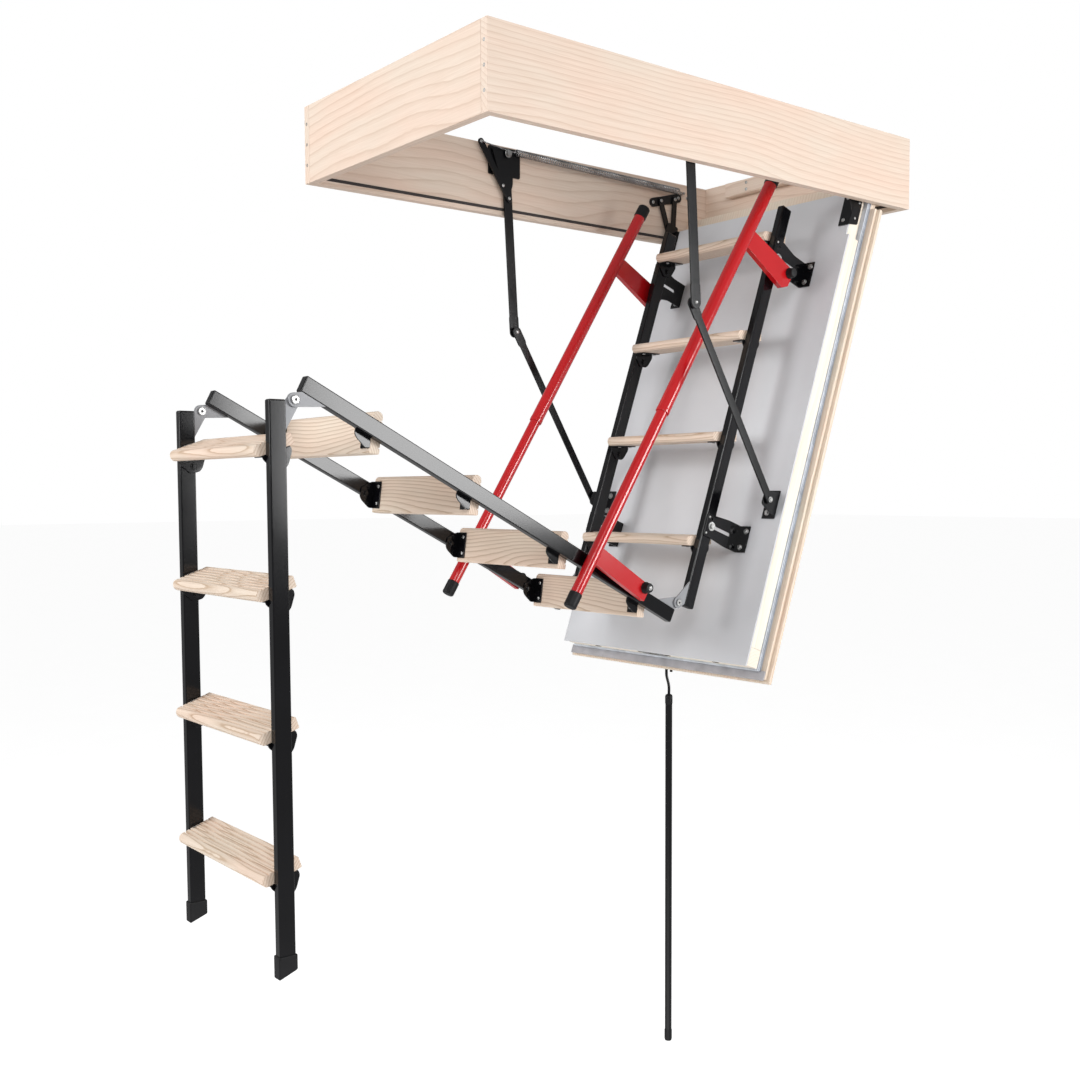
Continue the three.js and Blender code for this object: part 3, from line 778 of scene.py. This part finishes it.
def tread(number, index, s):
    """A tread with eased ends, and its staples."""
    outline = [tread_point(number, s, *p) for p in tread_profile()]
    middle = tread_point(number, s, 0, 0)
    bm = bmesh.new()
    rows = []
    rim = 1.2
    end = TREAD_HALF_LENGTH
    for y, inset in ((-end, rim), (rim - end, 0), (end - rim, 0), (end, rim)):
        row = []
        for x, z in outline:
            dx, dz = x - middle[0], z - middle[1]
            k = 1 - inset / max(12, hypot(dx, dz))
            row.append(bm.verts.new((middle[0] + dx * k, y, middle[1] + dz * k)))
        rows.append(row)
    count = len(outline)
    for lower, upper in zip(rows, rows[1:]):
        for i in range(count):
            j = (i + 1) % count
            bm.faces.new((lower[i], lower[j], upper[j], upper[i]))
    bm.faces.new(rows[0][::-1])
    bm.faces.new(rows[-1])
    bmesh.ops.recalc_face_normals(bm, faces=bm.faces)
    ahead = Vector(tread_point(number, s, 1, 0)) - Vector(middle)
    above = Vector(tread_point(number, s, 0, 1)) - Vector(middle)
    body = SECTIONS[number]["body"]

    def grain(co):
        d = Vector((co.x - middle[0], co.z - middle[1]))
        return Vector((co.y, d.dot(ahead), d.dot(above))) * MM

    staples = Piece(f"tread_staples_{number}_{index}")
    path = ((-8, 9.5), (-8, 11.6), (-7, 12.2), (7, 12.2), (8, 11.6), (8, 9.5))
    for y in (7 - end, end - 7):
        staples.add(wire([on_y(tread_point(number, s, *p), y) for p in path], 0.7, 6))
    staples.done(ZINC, body)
    piece = Piece(f"tread_{number}_{index}")
    piece.add(bm, grain, 1.7 * number + 0.93 * index)
    piece.done(TREAD_PINE, body, [f"section_{number}_tread_{index}"], smooth=28)


INSIDE = HALF - STILE_WIDTH


def tread_bracket(number, s, side, metal, screws):
    """A pressed angle: an ear bolted to the stile and a tab screwed under the tread."""
    under = -TREAD_HALF_THICK - 0.4
    ear = [(-31, under), (28, under), (27, under - 8), (12, under - 33)]
    ear += [(-8, under - 35), (-16, under - 30), (-31, under - 10)]
    place = [tread_point(number, s, *p) for p in ear]
    metal.add(sheet(rounded(place, 4), *band(side, INSIDE - 3, INSIDE - 0.1), edge=0.4))
    tab = [(-31, under - 2.6), (28, under - 2.6), (28, under), (-31, under)]
    place = [tread_point(number, s, *p) for p in tab]
    metal.add(prism(place, *band(side, INSIDE - 31, INSIDE - 3), edge=0.6))
    down = Vector(tread_point(number, s, 0, -1)) - Vector(tread_point(number, s, 0, 0))
    for along in (-20, 17):
        place = tread_point(number, s, along, under - 2.6)
        screws.add(screw_head(on_y(place, side * (INSIDE - 22)), (down.x, 0, down.y), 4.0))
    bolt = on_y(tread_point(number, s, 0, under - 21), side * (INSIDE - 3))
    for part in hex_bolt(bolt, (0, -side, 0), across=9, height=4.6, washer=7.5):
        metal.add(part)


def stile_outline(number, from_s, to_s):
    """A stretch of a stile, seen from the side."""
    corners = ((from_s, -STILE_DEPTH), (to_s, -STILE_DEPTH), (to_s, 0), (from_s, 0))
    return [in_section(number, s, f) for s, f in corners]


EAR_NOSE = 13


def ear(number, root, pin, ys):
    """A flat hinge ear: two root points on the stile, a round nose about the pin."""
    a, b = (in_section(number, *p) for p in root)
    slope = atan2(pin[1] - (a[1] + b[1]) / 2, pin[0] - (a[0] + b[0]) / 2)
    arc = [on_circle(pin, EAR_NOSE, slope - radians(100) + radians(200) * i / 12) for i in range(13)]
    turn = (b[0] - a[0]) * (pin[1] - a[1]) - (b[1] - a[1]) * (pin[0] - a[0])
    ring = [a, b, *arc] if turn > 0 else [a, b, *arc[::-1]]
    return sheet(ring, *ys, holes=[circle(pin, 4.6)], edge=0.4)


EAR_OUT = (HALF - 4.5, HALF - 1)
EAR_IN = (HALF - 9, HALF - 5.5)


def mount_bracket(piece, bolts, s, low, high, side):
    """A slotted side plate on the stile with a foot screwed to the hatch."""
    ys = band(side, HALF + 0.05, HALF + 3.4)
    foot = 32
    corners = (
        (s - foot, 0.4), (s + foot, 0.4), (s + foot, 45), (s + high, 92),
        (s + high, 116.5), (s - low, 116.5), (s - low, 92), (s - foot, 45),
    )
    outline = rounded([hatch.at(*c) for c in corners], 5)
    slot = capsule(hatch.at(s, 36), hatch.at(s, 88), 4)
    piece.add(sheet(outline, *ys, holes=[slot, circle(hatch.at(s + low * 0.62, 100), 2.6)], edge=0.4))
    piece.add(slab(s - foot, s + foot, 0.4, 3.8, *band(side, HALF + 0.05, HALF + 32.8), 0.9))
    outward = (0, side, 0)
    for end, y in ((s + 19, HALF + 24), (s - 20, HALF + 16)):
        for part in hex_bolt(on_y(hatch.at(end, 3.8), side * y), OFF_HATCH, across=9, height=5, washer=7):
            bolts.add(part)
    big = on_y(hatch.at(s, 98), side * (HALF + 3.4))
    for part in hex_bolt(big, outward, across=12, height=6.5, washer=10.5):
        bolts.add(part)
    for end in (s - low + 8, s + high - 8):
        bolts.add(rivet(on_y(hatch.at(end, 110), side * (HALF + 3.4)), outward, 3.2, 1.8))


for number, spec in SECTIONS.items():
    for index, s in enumerate(spec["treads"], 1):
        tread(number, index, s)

for label, side in SIDES:
    ys = band(side, INSIDE, HALF)
    for number, spec in SECTIONS.items():
        body = spec["body"]
        rail = Piece(f"stile_{number}_{label}")
        fasteners = Piece(f"fasteners_{number}_{label}")
        ears = Piece(f"hinge_ears_{number}_{label}")
        rail.add(prism(stile_outline(number, 0.2, spec["length"] - 0.2), *ys, edge=2.4, segments=3))
        for s in spec["treads"]:
            tread_bracket(number, s, side, rail, fasteners)
        head = ((4, -1), (58, -1))
        if number == 1:
            ears.add(ear(1, head, PIN_12, band(side, *EAR_OUT)))
            mount_bracket(rail, fasteners, 967, 46, 44, side)
            mount_bracket(rail, fasteners, 294, 27, 27, side)
        if number == 2:
            ears.add(ear(2, head, PIN_12, band(side, *EAR_IN)))
            end = spec["length"]
            foot = ((end - 58, 1 - STILE_DEPTH), (end - 4, 1 - STILE_DEPTH))
            ears.add(ear(2, foot, PIN_23, band(side, *EAR_OUT)))
        if number == 3:
            ears.add(ear(3, ((4, 1 - STILE_DEPTH), (58, 1 - STILE_DEPTH)), PIN_23, band(side, *EAR_IN)))
        rail.done(STILE, body, [f"section_{number}_stile_{label}"])
        fasteners.done(ZINC, body)
        ears.done(EAR_PAINTED_REFLECTION, body)
        ends = [0.0] if number == 3 else [0.0, spec["length"]]
        for k, s in enumerate(ends):
            plug = Piece(f"stile_plug_{number}_{label}_{k}")
            a, b = (s - 0.4, s + 3) if s == 0 else (s - 3, s + 0.4)
            low, high = 1.6 - STILE_DEPTH, -1.6
            outline = [in_section(number, *c) for c in ((a, low), (b, low), (b, high), (a, high))]
            plug.add(prism(outline, *band(side, INSIDE + 1.6, HALF - 1.6), edge=0.6))
            plug.done(RUBBER, body)

# rubber feet with a rounded rim
FOOT_TOP = -18
SOLE_HEEL = 11
SOLE_TOE = SOLE_HEEL + 37 * tan(radians(90 - OPEN_ANGLE))
STILE_3 = SECTIONS[3]["length"]
for label, side in SIDES:
    piece = Piece(f"rubber_foot_{label}")
    outline = [
        in_section(3, STILE_3 + FOOT_TOP, 2.5), in_section(3, STILE_3 + FOOT_TOP, -STILE_DEPTH - 2.5),
        in_section(3, STILE_3 + SOLE_HEEL, -STILE_DEPTH - 2.5), in_section(3, STILE_3 + SOLE_TOE, 2.5),
    ]
    piece.add(prism(outline, *band(side, INSIDE - 2.5, HALF + 2.5), edge=2.6, segments=3))
    piece.done(RUBBER, "section_3", [f"foot_{label}"])

# hinge pins: hollow rivets with rolled heads
PIN_LENGTH = 15.2
for joint, pin in (("12", PIN_12), ("23", PIN_23)):
    for label, side in SIDES:
        piece = Piece(f"hinge_pin_{joint}_{label}")
        profile = [(2.6, 0), (7.4, 0), (8, 0.7), (7.8, 1.6), (4.1, 2.4), (4.1, PIN_LENGTH - 2.4)]
        profile += [(7.8, PIN_LENGTH - 1.6), (8, PIN_LENGTH - 0.7), (7.0, PIN_LENGTH), (2.6, PIN_LENGTH)]
        piece.add(turned([*profile, profile[0]], on_y(pin, side * (HALF - 12.6)), (0, side, 0), 28))
        piece.done(ZINC, f"hinge_{joint}_pins", [f"hinge_{joint}_pin_{label}"])


# ---------------------------------------------------------------- handrails

POST_1 = pivot("handrail_tilt_unfold")
POST_2 = in_section(2, 131, -4)
RAIL_Y = 222
RAIL_OFFSET = 160
slope = degrees(atan2(POST_1[1] - POST_2[1], POST_1[0] - POST_2[0]))
rail_line = Flat(POST_2, slope)
REACH = hypot(POST_1[0] - POST_2[0], POST_1[1] - POST_2[1])
UPPER_T = (350, 1030)
LOWER_T = (-140, 545)
CAP = 34
RAIL_R = 15
LOWER_R = 12.8


def along_rail(profile, y):
    start = rail_line.at(0, RAIL_OFFSET)
    return turned(profile, on_y(start, y), (rail_line.u[0], 0, rail_line.u[1]), 48)


def rail_cap(y, t_end, direction, radius):
    """A push-on plastic cap with a rounded end."""
    r = radius + 1.2
    shoulder = t_end - direction * 4
    inner = t_end - direction * CAP
    points = [(0, inner), (radius + 0.1, inner), (r, inner + direction), (r, shoulder)]
    for i in range(1, 6):
        a = pi / 2 * i / 5
        points.append((r - 4 + 4 * cos(a), shoulder + direction * 4 * sin(a)))
    points.append((0, t_end))
    return along_rail(points, y)


def arm(points, y):
    """A flat arm of the handrail, in (along, off) points."""
    return prism(rounded([rail_line.at(*p) for p in points], 1.5, 3), y - 7, y + 7, edge=1.0)


KNOB = [(0, 0), (13, 0), (13, 2), (11.5, 4), (11, 12), (9.5, 15), (0, 16)]


def knob(point, y, side):
    """A round plastic knob on a pivot."""
    return turned(KNOB, on_y(point, y), (0, side, 0), 24)


for label, side in SIDES:
    y = side * RAIL_Y
    upper = Piece(f"handrail_upper_{label}")
    a, b = UPPER_T
    upper.add(along_rail([
        (13.3, a + 0.4), (14.4, a), (15.4, a + 0.6), (15.6, a + 3), (15.6, a + 10), (15.0, a + 11.5),
        (RAIL_R, b - 4), (13.3, b - 4), (13.3, a + 0.4),
    ], y))
    upper.add(arm([
        (REACH - 42, RAIL_OFFSET - 6), (REACH + 3, RAIL_OFFSET - 6), (REACH + 14, -5), (REACH + 6, -12.5),
        (REACH - 29, -12.5), (REACH - 44, 2),
    ], y))
    upper.done(RED, "rails_upper", [f"rail_upper_{label}"])
    lower = Piece(f"handrail_lower_{label}")
    a, b = LOWER_T
    lower.add(along_rail([(10.8, a + 4), (LOWER_R, a + 4), (LOWER_R, b), (10.8, b), (10.8, a + 4)], y))
    lower.add(arm([(-30, RAIL_OFFSET - 6), (9, RAIL_OFFSET - 6), (10.5, -12.5), (-27, -12.5)], y))
    lower.done(RED, "rails_lower", [f"rail_lower_{label}"])
    caps = Piece(f"handrail_cap_top_{label}")
    caps.add(rail_cap(y, UPPER_T[1], 1, RAIL_R))
    caps.done(RUBBER, "rails_upper")
    caps = Piece(f"handrail_cap_bottom_{label}")
    caps.add(rail_cap(y, LOWER_T[0], -1, LOWER_R))
    caps.done(RUBBER, "rails_lower")
    out = side * (RAIL_Y + 7)
    grip = Piece(f"handrail_knob_lower_{label}")
    grip.add(knob(POST_2, out, side))
    grip.add(peg(POST_2, HALF + 0.7, side, 12, 11.8, 24))
    grip.done(RUBBER, "rails_lower")
    bolt = Piece(f"handrail_bolt_lower_{label}")
    button = [(0, 0), (5.5, 0), (5.5, 1), (4, 3), (0, 3.4)]
    bolt.add(turned(button, on_y(POST_2, out + side * 15.6), (0, side, 0), 20))
    bolt.done(ZINC, "rails_lower")
    grip = Piece(f"handrail_knob_upper_{label}")
    grip.add(knob(POST_1, out + side * 0.4, side))
    grip.add(peg(POST_1, HALF + 4, side, 10, 8, 24))
    grip.done(RUBBER, "rail_knobs", [f"rail_knob_{label}"])
    guide = Piece(f"handrail_guide_{label}")
    guide.add(along_rail([(0, b + 1), (12, b + 1), (13, b + 4), (13, b + 28), (12, b + 31), (0, b + 31)], y))
    guide.done(RUBBER, "rail_guides", [f"rail_guide_{label}"])


# ---------------------------------------------------------------- lazy arms, plates, links, springs

ARM_PIVOT = pivot("lazy_arm_upper_swing")
ARM_SEAT = pivot("lazy_arm_lower_swing")
ELBOW = (-75, -287)
CRANK_END = (-179, 167)
LINK_FRONT = pivot("hinge_link_swing")
LINK_REAR = (491, 122)
SEAT_FRONT = hatch.at(1176, 15)
SEAT_REAR = hatch.at(1186, -3)
BOARD_FACE = 322.1
PLATE_FACE = BOARD_FACE - 4
ARM_TOP = (-97, 90)


def towards(a, b, distance):
    length = hypot(b[0] - a[0], b[1] - a[1])
    return (a[0] + (b[0] - a[0]) * distance / length, a[1] + (b[1] - a[1]) * distance / length)


def put_rivets(name, body, spots, side, radius=4.5):
    piece = Piece(name)
    for point, y, direction in spots:
        piece.add(rivet(on_y(point, side * y), (0, side * direction, 0), radius))
    piece.done(ZINC, body)


for label, side in SIDES:
    arm_plate = Piece(f"arm_mount_plate_{label}")
    outline = rounded([(-150, 96), (-52, 96), (-52, 166), (-150, 166)], 5)
    arm_plate.add(sheet(outline, *band(side, PLATE_FACE, BOARD_FACE), holes=[circle((-140, 106), 2.5)]))
    arm_plate.add(peg(ARM_PIVOT, BOARD_FACE - 16, side, 5, 12.5))
    arm_plate.done(BLACK, "casing", [f"arm_plate_{label}"])
    bolt = Piece(f"arm_pivot_bolt_{label}")
    for part in hex_bolt(on_y(ARM_PIVOT, side * 307.4), (0, -side, 0), across=13, height=7, washer=10):
        bolt.add(part)
    bolt.add(rivet(on_y((-134, 149), side * PLATE_FACE), (0, -side, 0), 5))
    bolt.done(ZINC, "casing")

    swing = Piece(f"lazy_arm_upper_{label}")
    head = rounded([(-143, 158), (-79, 158), (-79, 78), (-85, 60), (-108, 60), (-116, 84)], 5)
    swing.add(sheet(head, *band(side, 312.6, 317.4), holes=[circle(ARM_PIVOT, 5.4)]))
    swing.add(sheet(capsule(ARM_TOP, ELBOW, 12.4), *band(side, 312.8, 317.2)))
    doubler = capsule(towards(ELBOW, ARM_TOP, 34), ELBOW, 13.4)
    holes = [circle(towards(ELBOW, ARM_TOP, d), 3.4) for d in (17, 34)]
    swing.add(sheet(doubler, *band(side, 312.4, 317.4), holes=holes))
    crank = capsule(CRANK_END, (-93, 39), 7.8)
    swing.add(sheet(crank, *band(side, 307.6, 312.4), holes=[circle(CRANK_END, 3)], edge=0.6))
    swing.add(peg(ELBOW, 307.6, side, 6, 5.2))
    swing.done(BLACK, "lazy_arms_upper", [f"arm_upper_{label}"])
    put_rivets(f"lazy_arm_upper_rivets_{label}", "lazy_arms_upper", [
        ((-113, 70), 307.6, -1), ((-94, 41), 307.6, -1), (CRANK_END, 307.6, -1),
        ((-113, 70), 317.4, 1), ((-94, 41), 317.2, 1), (ELBOW, 317.4, 1),
    ], side)

    swing = Piece(f"lazy_arm_lower_{label}")
    swing.add(sheet(capsule(ELBOW, ARM_SEAT, 9.4), *band(side, 302.4, 307.0), holes=[circle(ARM_SEAT, 5.4)]))
    doubler = capsule(ELBOW, towards(ELBOW, ARM_SEAT, 30), 12)
    swing.add(sheet(doubler, *band(side, 302.2, 307.2), holes=[circle(towards(ELBOW, ARM_SEAT, 16), 3)]))
    swing.done(BLACK, "lazy_arms_lower", [f"arm_lower_{label}"])
    put_rivets(f"lazy_arm_lower_rivets_{label}", "lazy_arms_lower", [(ELBOW, 302.2, -1)], side, 6)

    bracket = Piece(f"lazy_arm_bracket_{label}")
    saddle = rounded([hatch.at(350, 0.4), hatch.at(410, 0.4), hatch.at(398, 50), hatch.at(366, 52)], 7)
    bracket.add(sheet(saddle, *band(side, 295, 299)))
    bracket.add(slab(346, 414, 0.4, 3.8, *band(side, 262, 299), 0.8))
    bracket.add(peg(ARM_SEAT, 298, side, 5, 11))
    bracket.done(BLACK, "hatch", [f"arm_bracket_{label}"])
    bolts = Piece(f"lazy_arm_bracket_bolts_{label}")
    for s in (360, 400):
        place = on_y(hatch.at(s, 3.8), side * 276)
        for part in hex_bolt(place, OFF_HATCH, across=9, height=5, washer=7.5):
            bolts.add(part)
    for part in hex_bolt(on_y(ARM_SEAT, side * 307.6), (0, side, 0), across=8, height=4.4, washer=6.8):
        bolts.add(part)
    bolts.done(ZINC, "hatch")

    hinge_plate = Piece(f"hinge_mount_plate_{label}")
    tilt = radians(14)
    left = (LINK_FRONT[0] - 26 * cos(tilt), LINK_FRONT[1] - 26 * sin(tilt))
    right = (LINK_FRONT[0] + 74 * cos(tilt), LINK_FRONT[1] + 74 * sin(tilt))
    hinge_plate.add(sheet(capsule(left, right, 12), *band(side, PLATE_FACE, BOARD_FACE), edge=0.6))
    hinge_plate.add(peg(LINK_FRONT, 311.5, side, 4, 7))
    hinge_plate.done(BLACK, "casing", [f"hinge_plate_{label}"])
    spots = [(p, PLATE_FACE, -1) for p in (left, right)]
    spots += [(LINK_FRONT, 311.6, -1), (LINK_REAR, 312.6, -1)]
    put_rivets(f"hinge_plate_rivets_{label}", "casing", spots, side, 5)

    link = Piece(f"hinge_link_front_{label}")
    bar = capsule(LINK_FRONT, SEAT_FRONT, 8)
    link.add(sheet(bar, *band(side, 313, 317.4), holes=[circle(LINK_FRONT, 4.4)]))
    link.add(rivet(on_y(SEAT_FRONT, side * 313), (0, -side, 0), 4, 0.5))
    link.done(BLACK, "hinge_links", [f"hinge_link_{label}"])
    link = Piece(f"hinge_link_rear_{label}")
    link.add(sheet(capsule(LINK_REAR, SEAT_REAR, 8), *band(side, 313, 317.4)))
    rear = link.done(BLACK, None)
    start, end = (Vector(on_y(p, 0)) * MM for p in (LINK_REAR, SEAT_REAR))
    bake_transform(rear)

    corner = Piece(f"hinge_angle_{label}")
    leg = rounded([
        hatch.at(1085, 3.4), hatch.at(1098, -28), hatch.at(1150, -28), hatch.at(1196, -14),
        hatch.at(1196, 20), hatch.at(1186, 26), hatch.at(1160, 26), hatch.at(1120, 3.4),
    ], 4)
    corner.add(sheet(leg, *band(side, 309.4, 312)))
    corner.add(slab(1085, 1172, 0.4, 3.4, *band(side, 281, 312), 0.8))
    corner.done(BLACK, "hatch", [f"hinge_bracket_{label}"])
    bolts = Piece(f"hinge_angle_bolts_{label}")
    for s in (1098, 1156):
        bolts.add(screw_head(on_y(hatch.at(s, 3.4), side * 293), OFF_HATCH, 5))
    for s, f in ((1108, -14), (1150, -18)):
        bolts.add(rivet(on_y(hatch.at(s, f), side * 312), (0, side, 0), 3.4, 2))
    bolts.done(ZINC, "hatch")

# springs: a tight coil, its end loops and the long hook to the crank
SPRING_START = (-72, 156)
SPRING_END = (500, 144)
COIL_R = 7.4
WIRE_R = 1.6
PITCH = 6.6
TURN_POINTS = 10
SHOULDER_SCREW = [(0, 0), (5, 0), (5, 1.2), (2, 1.6), (2, 9), (3.6, 9.4), (3.6, 11), (0, 12)]
for label, side in SIDES:
    y = side * 308
    origin = Vector(on_y(SPRING_START, y))
    tail = Vector(on_y(SPRING_END, y))
    length = (tail - origin).length
    axis = (tail - origin).normalized()
    across = Vector(ACROSS)
    above = axis.cross(across)
    total = int(length / PITCH) * TURN_POINTS
    points = []
    for i in range(total + 1):
        a = 2 * pi * i / TURN_POINTS
        points.append(origin + axis * (length * i / total) + (across * cos(a) + above * sin(a)) * COIL_R)
    coil = Piece(f"spring_coil_{label}")
    coil.add(wire(points, WIRE_R, 6))
    obj = coil.done(SPRING_STEEL, "casing", [f"spring_{label}"], smooth=60)
    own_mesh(obj)
    hook = Piece(f"spring_hook_{label}")
    end = Vector(on_y(CRANK_END, side * 304.5))
    bends = [origin + Vector(c) for c in ((10, 0, 0), (0, 0, 0), (-22, 0, 1), (-60, -side * 2, 5))]
    bends += [end + Vector(c) for c in ((14, 0, -3), (2, 0, 0))]
    hook.add(wire(eased(bends), WIRE_R))
    obj = hook.done(SPRING_STEEL, None, smooth=60)
    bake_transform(obj)
    anchor = Piece(f"spring_anchor_{label}")
    bends = [tail + Vector(c) for c in ((0, 0, 0), (10, 0, -1), (20, side * 5, -1), (24, side * 9, -1))]
    anchor.add(wire(eased(bends), WIRE_R))
    for x, z in ((524, 143), (548, 134)):
        anchor.add(turned(SHOULDER_SCREW, (x, side * BOARD_FACE, z), (0, -side, 0), 18))
    anchor.done(SPRING_STEEL, "casing")


# ---------------------------------------------------------------- carried-over nodes

def repaint(name, material):
    obj = frame["nodes"][name]
    obj.data.materials.clear()
    obj.data.materials.append(material)


repaint("latch_bolt", ZINC)
repaint("latch_plate", BLACK)
repaint("operating_rod", BLACK)
ROD_X = pivot("rod_swing")[0]
ROD_ENDS = {
    "rod_tip": (-2067, [(0, 0), (7, 0), (8.6, 1.5), (9.4, 4), (9.4, 26), (8.7, 28), (0, 28)]),
    "rod_ferrule": (-1192, [(0, -22), (8.7, -22), (9.2, -20), (9.2, -3), (7, 1), (3.2, 3), (0, 3)]),
}
for name, (z, profile) in ROD_ENDS.items():
    tip = Piece(name)
    tip.add(turned(profile, (ROD_X, 0, z), (0, 0, 1)))
    tip.done(RUBBER, "rod")


# ---------------------------------------------------------------- studio

FLOOR_Z = -2.88
FILL = 0.34


def studio():
    """A pale floor running out to a white surround."""
    white, tree, shader = fresh("studio_white")
    speck = noise(tree, on_object(tree), Scale=3.0, Detail=2.0)[0]
    tinted(tree, shader, speck, [(0.3, (0.90, 0.90, 0.90)), (0.7, (0.92, 0.92, 0.92))])
    shader.inputs["Roughness"].default_value = 0.95
    shader.inputs["Specular IOR Level"].default_value = 0.1
    seen = node(tree, "ShaderNodeLightPath").outputs["Is Camera Ray"]
    shader.inputs["Emission Color"].default_value = (1, 1, 1, 1)
    tree.links.new(spread(tree, seen, 0.0, 0.66), shader.inputs["Emission Strength"])
    bm = bmesh.new()
    bmesh.ops.create_grid(bm, x_segments=8, y_segments=8, size=90)
    mesh = bpy.data.meshes.new("studio_floor")
    bm.to_mesh(mesh)
    bm.free()
    mesh.materials.append(white)
    floor = bpy.data.objects.new("studio_floor", mesh)
    floor.location.z = FLOOR_Z
    bpy.context.scene.collection.objects.link(floor)

    world = bpy.data.worlds.new("studio_world")
    bpy.context.scene.world = world
    world.use_nodes = True
    tree = world.node_tree
    background = tree.nodes["Background"]
    background.inputs["Color"].default_value = (1, 1, 1, 1)
    seen = node(tree, "ShaderNodeLightPath").outputs["Is Camera Ray"]
    tree.links.new(spread(tree, seen, FILL, 1.0), background.inputs["Strength"])
    bpy.context.scene.view_settings.view_transform = "Standard"


def softbox(name, place, target, size, power):
    light = bpy.data.lights.new(name, "AREA")
    light.shape = "RECTANGLE"
    light.size, light.size_y = size
    light.energy = power
    obj = bpy.data.objects.new(name, light)
    obj.location = place
    obj.rotation_euler = (Vector(target) - Vector(place)).to_track_quat("-Z", "Y").to_euler()
    bpy.context.scene.collection.objects.link(obj)


EYE = (-2.0146, -2.1920, -0.6879)
YAW, PITCH_DOWN, ROLL = 38.85, -3.30, -0.23
LENS = 41.6
RAISE = 0.022


def camera():
    """The photo's viewpoint; the lens is a little wider, to keep the casing in the frame."""
    data = bpy.data.cameras.new("camera")
    data.sensor_width = 36
    data.lens = LENS
    data.shift_y = RAISE
    obj = bpy.data.objects.new("camera", data)
    yaw, pitch, roll = radians(YAW), radians(PITCH_DOWN), radians(ROLL)
    forward = Vector((sin(yaw) * cos(pitch), cos(yaw) * cos(pitch), sin(pitch)))
    turn = forward.to_track_quat("-Z", "Y").to_matrix().to_4x4()
    obj.matrix_world = Matrix.Translation(EYE) @ turn @ Matrix.Rotation(roll, 4, "Z")
    bpy.context.scene.collection.objects.link(obj)
    bpy.context.scene.camera = obj


studio()
softbox("near_side", (1.35, -3.0, -0.3), (-0.5, -0.2, -0.6), (1.5, 1.1), 70)
softbox("left", (-3.9, 1.2, 0.5), (0, 0, -0.6), (1.8, 2.2), 105)
softbox("front", (-2.6, -3.2, 1.4), (0, 0, -0.5), (1.6, 1.6), 55)
softbox("under", (-0.8, -0.6, -2.75), (0.1, 0, 0), (2.2, 2.2), 20)
camera()
